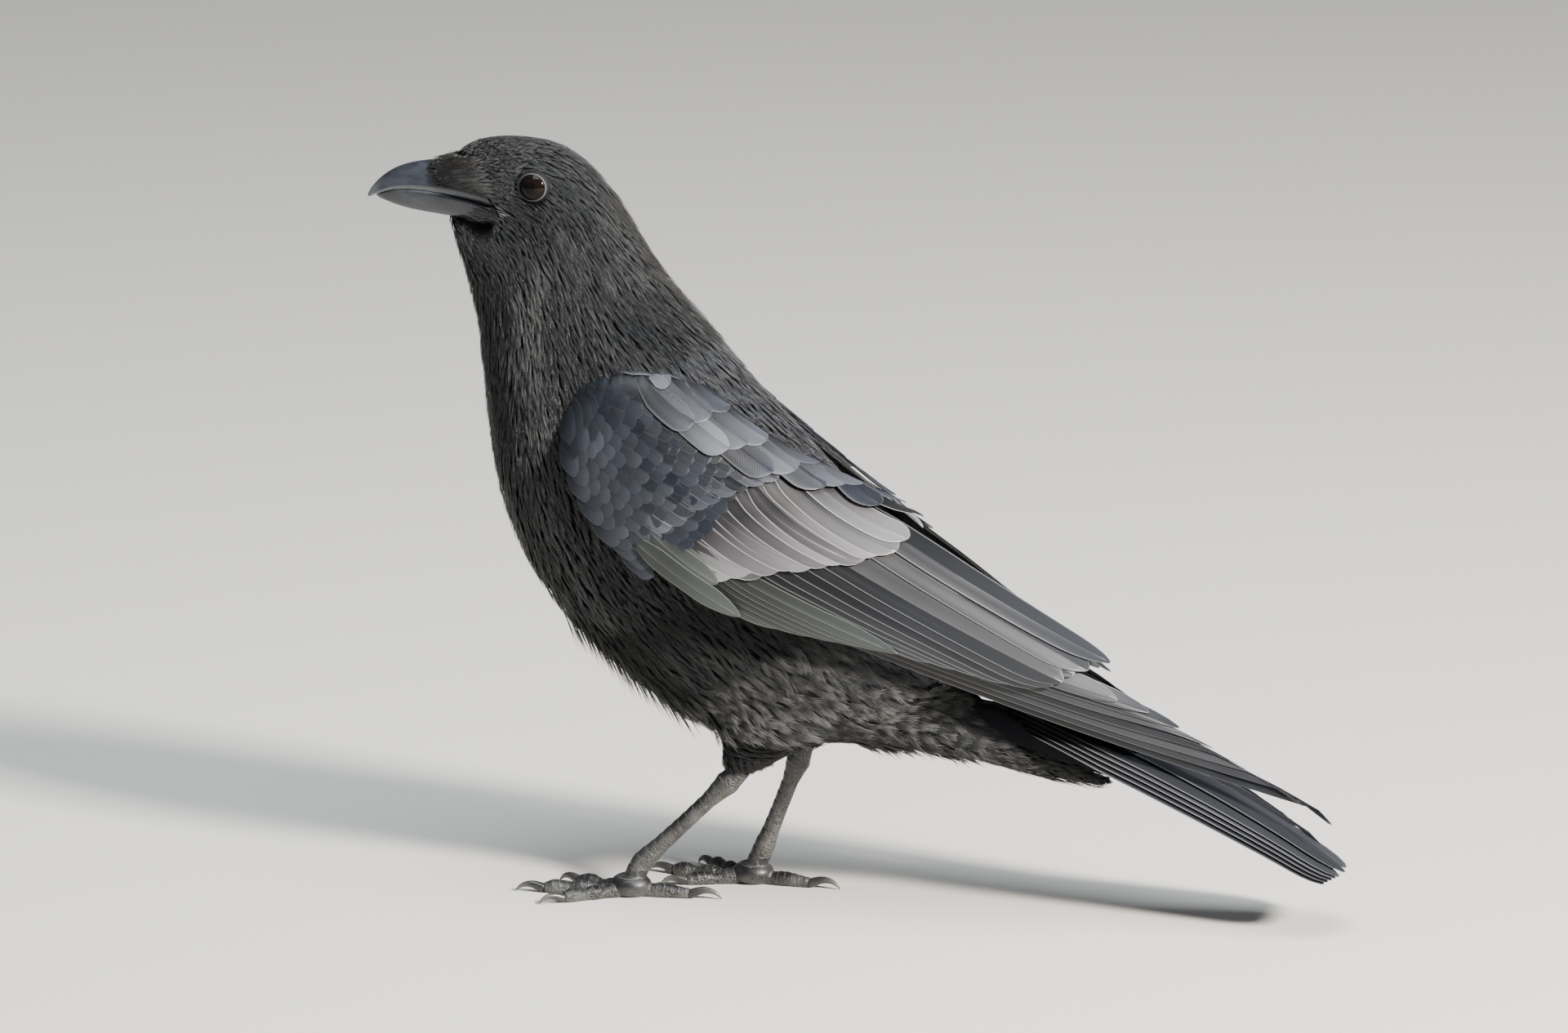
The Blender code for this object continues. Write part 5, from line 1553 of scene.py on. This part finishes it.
BILL_LOOK = horn_material("bill_horn", (0.010, 0.0115, 0.015), (0.031, 0.036, 0.046), (0.22, 0.34))
CLAW_LOOK = horn_material("claw_horn", (0.010, 0.010, 0.010), (0.035, 0.034, 0.032), (0.25, 0.4),
    (0.12, 0.115, 0.105))
LEG_LOOK = leg_material()

# %% [markdown]
# ## The bill
# A crow's bill is a strong wedge. The upper half arches over the lower one and ends in a
# small hook; its cutting edge is thin and pale. Each half is grown from a circle, extruded
# ring by ring: x, top, foot and half width come from one table, and the section is an arch
# with a flat foot.

# %% Grow a tube from rings, and the two halves of the bill
BILL_UPPER = (    # x, top, foot and half width, from the tip back
    (-124.7, 259.4, 257.5, 0.45), (-122.6, 262.2, 258.4, 1.5), (-119.3, 265.7, 259.9, 2.6),
    (-114.0, 269.3, 261.6, 4.0), (-108.0, 271.5, 262.2, 5.1), (-101.0, 272.7, 262.1, 6.1),
    (-93.0, 273.7, 261.4, 7.1), (-84.0, 273.6, 260.0, 7.9), (-75.5, 271.0, 257.8, 8.2),
    (-69.0, 269.0, 256.2, 7.6),
)
BILL_LOWER = (
    (-121.4, 258.9, 258.0, 0.7), (-118.6, 259.8, 257.0, 2.2), (-113.5, 261.4, 255.2, 3.9),
    (-107.0, 261.9, 253.7, 5.2), (-100.0, 261.8, 252.9, 6.2), (-92.0, 260.9, 252.2, 7.2),
    (-84.0, 259.7, 251.4, 8.0), (-75.5, 257.4, 249.6, 8.6), (-69.0, 256.0, 249.0, 7.8),
)


def grow(rings):
    """A closed tube: a circle laid on the first ring, then extruded through the others."""
    bm = bmesh.new()
    bmesh.ops.create_circle(bm, segments=len(rings[0]), radius=1.0)
    order = bm.verts.layers.int.new("order")
    for k, vert in enumerate(bm.verts):
        vert[order] = k
        vert.co = rings[0][k]
    edges = bm.edges[:]
    bmesh.ops.contextual_create(bm, geom=edges)
    for ring in rings[1:]:
        grown = bmesh.ops.extrude_edge_only(bm, edges=edges)["geom"]
        edges = [item for item in grown if isinstance(item, bmesh.types.BMEdge)]
        for item in grown:
            if isinstance(item, bmesh.types.BMVert):
                item.co = ring[item[order]]
    bmesh.ops.contextual_create(bm, geom=edges)
    bmesh.ops.recalc_face_normals(bm, faces=bm.faces)
    return bm


def add_piece(name, bm, look, slot, nodes=(), **values):
    """Turn a bmesh into a named piece on the bird; each value is a function of its points."""
    mesh = finished_mesh(bm, name)
    spots = np.empty(len(mesh.vertices) * 3)
    mesh.vertices.foreach_get("co", spots)
    spots = spots.reshape(-1, 3) / MM - (SHIFT, 0, 0)
    for key, value_of in values.items():
        kept = np.clip(value_of(spots), 0, 1).astype(np.float32)
        mesh.attributes.new(key, "FLOAT", "POINT").data.foreach_set("value", kept)
    mesh.materials.append(look)
    mesh.shade_smooth()
    piece = bpy.data.objects.new(name, mesh)
    bpy.context.scene.collection.objects.link(piece)
    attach(piece, "root")
    if nodes:
        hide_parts(*nodes)
    print(name, len(mesh.polygons), "faces")
    return piece


TIP_ROUND = 1.6
PALATE = 0.07


def bill_rings(table, upper, rows=56, points=40):
    """Rings of one half of the bill from its tip back into the head, its tip rounded off."""
    run = fine_run(table, 12)[1]
    first, last = table[0][0], table[-1][0]
    angle = np.linspace(0, 2 * np.pi, points, endpoint=False)
    outwards = np.sign(np.sin(angle)) * np.abs(np.sin(angle)) ** 0.95 * (1 if upper else -1)
    rings = []
    for k in range(rows):
        x = first + (last - first) * (k / (rows - 1)) ** 1.7
        top, foot, half = (float(np.interp(x, run[:, 0], run[:, i])) for i in (1, 2, 3))
        ridge, edge = (top, foot) if upper else (foot, top)
        boxy = 0.8 if upper else float(np.interp(x, (-105.0, -84.0), (0.8, 0.28)))
        across = np.sign(np.cos(angle)) * np.abs(np.cos(angle)) ** boxy
        palate = PALATE * half * (1 if upper else -1) * outwards ** 2
        height = edge + np.where(outwards >= 0, (ridge - edge) * outwards, palate)
        closed = math.sqrt(max(1 - (1 - min((x - first) / TIP_ROUND, 1.0)) ** 2, 0.01))
        middle = edge + (ridge - edge) * 0.25
        height = middle + (height - middle) * closed
        rings.append(place(np.stack([np.full(points, x), across * half * closed, height], axis=1)))
    return rings


def worn_tip(spots):
    """Pale at the very tip and along the cutting edges."""
    tip = np.clip((-117.5 - spots[:, 0]) / 6.0, 0, 1) ** 1.5
    edge = np.interp(spots[:, 0], *np.array(BILL_UPPER)[:, (0, 2)].T)
    near_edge = np.clip(1 - np.abs(spots[:, 2] - edge) / 0.5, 0, 1) * np.clip((-88 - spots[:, 0]) / 12, 0, 1)
    return 0.6 * tip + 0.5 * near_edge


upper_bill = add_piece("upper_bill", grow(bill_rings(BILL_UPPER, True)), BILL_LOOK, "bill_horn",
    ["bill_upper"], worn=worn_tip)
lower_bill = add_piece("lower_bill", grow(bill_rings(BILL_LOWER, False)), BILL_LOOK, "bill_horn",
    ["bill_lower"], worn=worn_tip)

# %% [markdown]
# ## The corner of the bill
# Short pale strands lie along the gape. They cross from horn to skin, so each one is laid on
# whatever shows there from the side, which a ray finds at five stops along it.

# %% Pale strands along the gape
GAPE_ROOTS = ((-85.0, 253.0), (-78.0, 256.5), (-72.0, 257.2))
GAPE_STRANDS = 70
head_form = bmesh.new()
head_form.from_mesh(upper_bill.data)
head_form.from_mesh(lower_bill.data)
head_form.from_mesh(skin_mesh)
head_tree = BVHTree.FromBMesh(head_form)
head_form.free()


def seen_from_side(x, z, sign):
    """The outermost point of bill and head at x and z on one side, and the way out of it."""
    spot, normal, _, _ = head_tree.ray_cast(Vector(place((x, sign * 60.0, z))), Vector((0.0, -sign, 0.0)))
    if spot is None:
        spot, normal, _, _ = head_tree.find_nearest(Vector(place((x, 0.0, z))))
    return np.array(spot) / MM - (SHIFT, 0, 0), np.array(normal)


parts = []
for sign in (-1, 1):
    lines, ups = [], []
    for _ in range(GAPE_STRANDS):
        pick = chance.uniform(0, 2)
        x, z = (np.interp(pick, (0, 1, 2), [spot[k] for spot in GAPE_ROOTS]) + chance.normal(0, 1.1)
            for k in (0, 1))
        length, drop = chance.uniform(4.0, 6.5), chance.uniform(0.05, 0.45)
        hits = [seen_from_side(x + length * share, z - length * drop * share, sign)
            for share in (0, 0.25, 0.5, 0.75, 1)]
        lines.append([spot for spot, _ in hits])
        ups.append([normal for _, normal in hits])
    lines, ups = np.array(lines), np.array(ups)
    smooth = lines.copy()
    smooth[:, 1:-1] = (lines[:, :-2] + lines[:, 1:-1] + lines[:, 2:]) / 3
    roots = smooth[:, 0]
    parts.append(lay(BRISTLE, smooth, unit(ups), np.full(len(roots), 0.3), 0.15, (0.25, 0.9),
        np.clip(chance.normal(0.55, 0.2, len(roots)), 0, 1),
        np.stack([roots[:, 0], roots[:, 2] * sign], 1)))
feathers_to_mesh("gape_strands", parts, GAPE_LOOK)

# %% [markdown]
# ## The eyes
# Each eye is a wet dark ball deep in the head. Around it lies a thin bare ring of tiny beads,
# and the lids close over the rest of the ball. The ring and lids are one profile spun round
# the eye's own axis.

# %% Eyeballs, rings and lids
EYE_RADIUS = 6.7
EYE_TALL = 0.88
RING_SLOPE, RING_BREADTH = 51.3, 1.5    # where the pale beads lie, in degrees from the eye's axis
BEADS = 36


def eye_look():
    """Nearly black brown iris round a black pupil, smooth and wet."""
    material = bpy.data.materials.new("wet_eye")
    material.use_nodes = True
    tree = material.node_tree
    shader = tree.nodes["Principled BSDF"]
    ring = add_node(tree, "ShaderNodeMapRange", {1: 0.30, 2: 0.36}, {0: attribute(tree, "worn")}).outputs[0]
    where = add_node(tree, "ShaderNodeTexCoord").outputs["Object"]
    fibres = add_node(tree, "ShaderNodeTexNoise", {"Scale": 1500.0, "Detail": 2.0}, {"Vector": where})
    iris = mix_colour(tree, fibres.outputs["Fac"], (0.0025, 0.0018, 0.0015), (0.008, 0.005, 0.0035))
    tree.links.new(mix_colour(tree, ring, (0.002, 0.002, 0.002), iris), shader.inputs["Base Color"])
    shader.inputs["Roughness"].default_value = 0.05
    shader.inputs["Specular IOR Level"].default_value = 0.11
    return material


def ring_look():
    """Bare dark grey skin of the lids."""
    material = bpy.data.materials.new("lid_skin")
    material.use_nodes = True
    tree = material.node_tree
    shader = tree.nodes["Principled BSDF"]
    scales = add_node(tree, "ShaderNodeGroup", {"node_tree": SCALES})
    scales.inputs["Scale"].default_value = 1800.0
    tree.links.new(mix_colour(tree, attribute(tree, "worn"), (0.006, 0.006, 0.0065), (0.13, 0.135, 0.14)),
        shader.inputs["Base Color"])
    relief = add_node(tree, "ShaderNodeBump", {"Strength": 0.4, "Distance": 0.0002},
        {"Height": scales.outputs["Height"]})
    tree.links.new(relief.outputs["Normal"], shader.inputs["Normal"])
    shader.inputs["Roughness"].default_value = 0.6
    shader.inputs["Specular IOR Level"].default_value = 0.25
    return material


EYE_LOOK = eye_look()
RING_LOOK = ring_look()
LID_PROFILE = (    # angle from the eye's axis in degrees, height over the ball in millimetres
    (48.2, -0.25), (48.9, 0.08), (50.0, 0.34), (51.6, 0.42), (53.2, 0.28), (55.0, 0.12),
    (58.0, 0.06), (63.0, -0.05), (70.0, -0.3), (80.0, -0.8), (90.0, -1.4),
)
for side, sign, middle in zip(("left", "right"), (-1, 1), eye_places):
    axis = Vector((-math.sin(EYE_FORWARD), sign * math.cos(EYE_FORWARD), math.sin(EYE_UP))).normalized()
    turned = Matrix.Translation(place(middle)) @ axis.to_track_quat("Z", "Y").to_matrix().to_4x4()
    bm = bmesh.new()
    bmesh.ops.create_uvsphere(bm, u_segments=48, v_segments=32, radius=EYE_RADIUS * MM)
    for vert in bm.verts:
        height = vert.co.z / (EYE_RADIUS * MM)
        vert.co *= 1 + 0.09 * max(height - 0.72, 0.0) - 0.22 * min(max(0.64 - height, 0.0), 1.0)
    bmesh.ops.transform(bm, matrix=turned, verts=bm.verts)
    reach = np.array(turned.inverted())

    def off_axis(spots, reach=reach):
        """Distance from the eye's axis, as a share of its radius, behind the front only."""
        local = place(spots) @ reach[:3, :3].T + reach[:3, 3]
        return np.hypot(local[:, 0], local[:, 1]) / (EYE_RADIUS * MM) + (local[:, 2] < 0)

    add_piece(f"eyeball_{side}", bm, EYE_LOOK, "eye_ball", [f"eye_{side}"], worn=off_axis)
    bm = bmesh.new()
    verts = []
    for degrees, over in LID_PROFILE:
        angle, radius = math.radians(degrees), (EYE_RADIUS + over) * MM
        verts.append(bm.verts.new((radius * math.sin(angle), 0.0, radius * math.cos(angle))))
    edges = [bm.edges.new(pair) for pair in zip(verts, verts[1:])]
    bmesh.ops.spin(bm, geom=verts + edges, cent=(0, 0, 0), axis=(0, 0, 1), angle=2 * math.pi, steps=96,
        use_merge=True)
    bmesh.ops.remove_doubles(bm, verts=bm.verts, dist=1e-6)
    bmesh.ops.recalc_face_normals(bm, faces=bm.faces)
    for vert in bm.verts:
        angle = math.atan2(vert.co.y, vert.co.x)
        slope = math.degrees(math.acos(max(min(vert.co.z / vert.co.length, 1.0), -1.0)))
        bead = math.exp(-((slope - RING_SLOPE) / 1.8) ** 2) * math.cos(BEADS * angle)
        vert.co *= 1 + 0.012 * bead
        vert.co.y *= EYE_TALL + (1 - EYE_TALL) * min(max((slope - 50) / 30, 0.0), 1.0)
    inwards = sum(face.normal.dot(face.calc_center_median()) for face in bm.faces) < 0
    bmesh.ops.solidify(bm, geom=bm.faces[:], thickness=(0.25 if inwards else -0.25) * MM)
    if bm.calc_volume(signed=True) < 0:
        bmesh.ops.reverse_faces(bm, faces=bm.faces)
    bmesh.ops.transform(bm, matrix=turned, verts=bm.verts)

    def on_ring(spots, reach=reach):
        """One on the beaded ring, none on the lids."""
        local = place(spots) @ reach[:3, :3].T + reach[:3, 3]
        slope = np.degrees(np.arctan2(np.hypot(local[:, 0], local[:, 1] / EYE_TALL), local[:, 2]))
        return np.exp(-((slope - RING_SLOPE) / RING_BREADTH) ** 2)

    add_piece(f"eye_ring_{side}", bm, RING_LOOK, "body_feathers", worn=on_ring)

# %% [markdown]
# ## Legs and feet
# The shank has a row of broad smooth scutes down its front and small rough scales behind.
# Toes carry scutes on top and soft pads below. Shank, ball and toes are grown as separate
# tubes with their scutes as real steps, then melted into one skin in very small cubes. Claws
# stay separate horn.

# %% Shanks, toes and claws
LEGS = {    # ankle, foot joint, ball of the foot, heading of the foot in degrees outwards
    "left": ((19.5, -14.0, 48.3), (-17.0, -13.0, 12.5), (-21.0, -13.0, 4.0), 4.0),
    "right": ((38.5, 11.0, 52.0), (22.5, 16.0, 13.0), (18.5, 17.0, 4.0), 8.0),
}
TOES = (    # name, turn from straight ahead, length, claw, pads
    ("inner", -30.0, 26.0, 10.5, 2), ("middle", 2.0, 33.5, 11.5, 3), ("outer", 34.0, 28.0, 10.5, 3),
    ("hind", 178.0, 23.0, 13.5, 1),
)
TARSUS_RADIUS, TOE_RADIUS, BALL = 3.0, 3.2, (8.2, 7.3, 5.0)
SOLE, PAD_BULGE = 0.7, 0.25
CLAW_RADIUS, CLAW_TIP, CLAW_RISE, CLAW_CURL, CLAW_JOINTS = 2.05, 0.3, 26.0, 92.0, 22
SHANK = (    # share of the way from ankle to foot joint, thickness in tarsus radii
    (-0.10, 1.15), (0.03, 1.4), (0.08, 1.55), (0.16, 1.3), (0.28, 1.03), (0.55, 1.0), (0.8, 1.08),
    (0.93, 1.3), (1.1, 1.35),
)
LEG_CUBE = 0.36
SHANK_SCUTE, TOE_SCUTE = 4.1, 2.7


def tube_rings(spine, radii, front, scute, step, sides=32, back_scale=0.0):
    """Rings round a path; scutes of a given length step out on the front, small scales behind."""
    spine = np.array(spine)
    tangent = unit(np.gradient(spine, axis=0))
    across = unit(np.cross(tangent, front))
    ahead = np.cross(across, tangent)
    reach = np.concatenate([[0], np.cumsum(np.linalg.norm(np.diff(spine, axis=0), axis=1))])
    angle = np.linspace(0, 2 * np.pi, sides, endpoint=False)
    facing = np.cos(angle)[None, :]
    saw = (reach[:, None] / scute) % 1.0
    plate = step * (1 - saw) ** 0.6 * np.clip((facing - 0.15) / 0.25, 0, 1)
    pebbles = np.abs(np.sin(reach[:, None] * 2.6) * np.sin(angle[None, :] * 6))
    small = back_scale * pebbles * np.clip(0.2 - facing, 0, 1)
    width = np.asarray(radii)[:, None] + plate + small - step * 0.5
    return (spine[:, None] + ahead[:, None] * (np.cos(angle)[None, :, None] * width[..., None])
        + across[:, None] * (np.sin(angle)[None, :, None] * width[..., None]))


def merge_tube(target, rings, floor_level=0.02):
    """Grow a tube in frame metres into a bmesh that gathers pieces, kept over the floor."""
    rings = np.array(rings)
    rings[..., 2] = np.maximum(rings[..., 2], floor_level)
    target.from_mesh(finished_mesh(grow(place(rings)), "tube"))


for side, (ankle, joint, ball, heading) in LEGS.items():
    ankle, joint, ball = np.array(ankle), np.array(joint), np.array(ball)
    shares = np.array(SHANK)
    steps = np.linspace(-0.08, 1.12, 150)
    spine = ankle + (joint - ankle) * np.minimum(steps, 1.0)[:, None]
    spine += (ball - joint) * np.clip((steps - 1.0) / 0.12, 0, 1)[:, None] * 0.8
    for _ in range(6):
        spine[1:-1] = (spine[:-2] + spine[2:]) / 2
    radii = TARSUS_RADIUS * np.interp(steps, shares[:, 0], shares[:, 1])
    bm = bmesh.new()
    merge_tube(bm, tube_rings(spine, radii, (-1.0, 0.0, 0.35), SHANK_SCUTE, 0.34, back_scale=0.22))
    form = Matrix.Translation(place(ball)) @ Matrix.Diagonal((*(np.array(BALL) * 0.97), 1.0))
    pad = bmesh.new()
    bmesh.ops.create_uvsphere(pad, u_segments=32, v_segments=20, radius=MM, matrix=form)
    for vert in pad.verts:
        vert.co.z = max(vert.co.z, 0.02 * MM)
    bm.from_mesh(finished_mesh(pad, "pad"))
    sign = -1 if side == "left" else 1
    for toe, turn, length, claw, pads in TOES:
        way = math.radians(180.0) - sign * math.radians(heading + turn)
        ahead = np.array([math.cos(way), math.sin(way), 0.0])
        foot = np.array([ball[0], ball[1], 0.0])
        steps = np.linspace(0.0, 1.0, 90)
        bulge = 1 + PAD_BULGE * (np.sin(math.pi * pads * steps) ** 2 - 1)
        radii = TOE_RADIUS * (1 - 0.1 * steps) * bulge
        inside = np.linspace(2.0, length, 90)
        spine = foot + ahead * inside[:, None] + np.array([0, 0, 1.0]) * (radii * SOLE)[:, None]
        end = np.clip((1 - steps) / 0.05, 0, 1) ** 0.5
        merge_tube(bm, tube_rings(spine, radii * (0.35 + 0.65 * end), (0.0, 0.0, 1.0), TOE_SCUTE, 0.30))
        start = foot + ahead * (length + 1.0) + np.array([0, 0, TOE_RADIUS * 0.9 * (1 - PAD_BULGE) * SOLE])
        spine, radii = [start - ahead * 1.6], [CLAW_RADIUS * 0.92]
        for k in range(1, CLAW_JOINTS + 1):
            share = k / CLAW_JOINTS
            tilt = math.radians(CLAW_RISE - CLAW_CURL * share) * min(share / 0.25, 1.0)
            rise = np.array([0, 0, math.sin(tilt)])
            spine.append(spine[-1] + (ahead * math.cos(tilt) + rise) * (claw + 1.0) / CLAW_JOINTS)
            radii.append(CLAW_TIP * 0.6 + (CLAW_RADIUS * 0.92 - CLAW_TIP * 0.6) * (1 - share) ** 0.8)
        spine, radii = np.array(spine), np.array(radii)
        lowest = min((spine[:, 2] - radii).min() - 0.05, 0.0)
        spine[:, 2] -= lowest * np.linspace(0, 1, len(spine))
        tip = spine[-1]
        claw_bm = grow(place(tube_rings(spine, radii, (0.0, 0.0, 1.0), 50.0, 0.0, 20)))
        for vert in claw_bm.verts:
            vert.co.z = max(vert.co.z, 0.0)
        add_piece(f"horn_{side}_{toe}", claw_bm, CLAW_LOOK, "claw_horn", [f"claw_{side}_{toe}"],
            worn=lambda spots, tip=tip, claw=claw: 1 - np.linalg.norm(spots - tip, axis=1) / (claw * 0.6))
    melted = through_modifiers(finished_mesh(bm, "leg"),
        ("REMESH", {"mode": "VOXEL", "voxel_size": LEG_CUBE * MM}))
    bm = bmesh.new()
    bm.from_mesh(melted)
    bmesh.ops.smooth_vert(bm, verts=bm.verts, factor=0.5, use_axis_x=True, use_axis_y=True, use_axis_z=True)
    for vert in bm.verts:
        vert.co.z = max(vert.co.z, 0.0)
    bmesh.ops.recalc_face_normals(bm, faces=bm.faces)
    run = unit(joint - ankle)
    front = unit(np.array([-1.0, 0, 0.35]) - run * (np.array([-1.0, 0, 0.35]) @ run))

    def rough_side(spots, ankle=ankle, run=run, front=front, ball=ball):
        """One on the sides and back of the shank, and low on the toes."""
        off = spots - ankle
        off = off - (off @ run)[:, None] * run
        behind = 0.7 - unit(off) @ front
        low_toe = (4.5 - spots[:, 2]) / 3
        return np.where(spots[:, 2] > ball[2] + 6, behind, low_toe)

    def scute_phase(spots, ankle=ankle, run=run, ball=ball):
        """How far along its own plate each point lies, down the shank and out along the toes."""
        down = (spots - ankle) @ run / SHANK_SCUTE
        out = np.hypot(spots[:, 0] - ball[0], spots[:, 1] - ball[1]) / TOE_SCUTE
        return np.where(spots[:, 2] > ball[2] + 6, down % 1.0, out % 1.0)

    add_piece(f"leg_{side}", bm, LEG_LOOK, "leg_scales",
        [f"shank_{side}", *(f"toe_{side}_{toe[0]}" for toe in TOES)], worn=rough_side, scute=scute_phase)
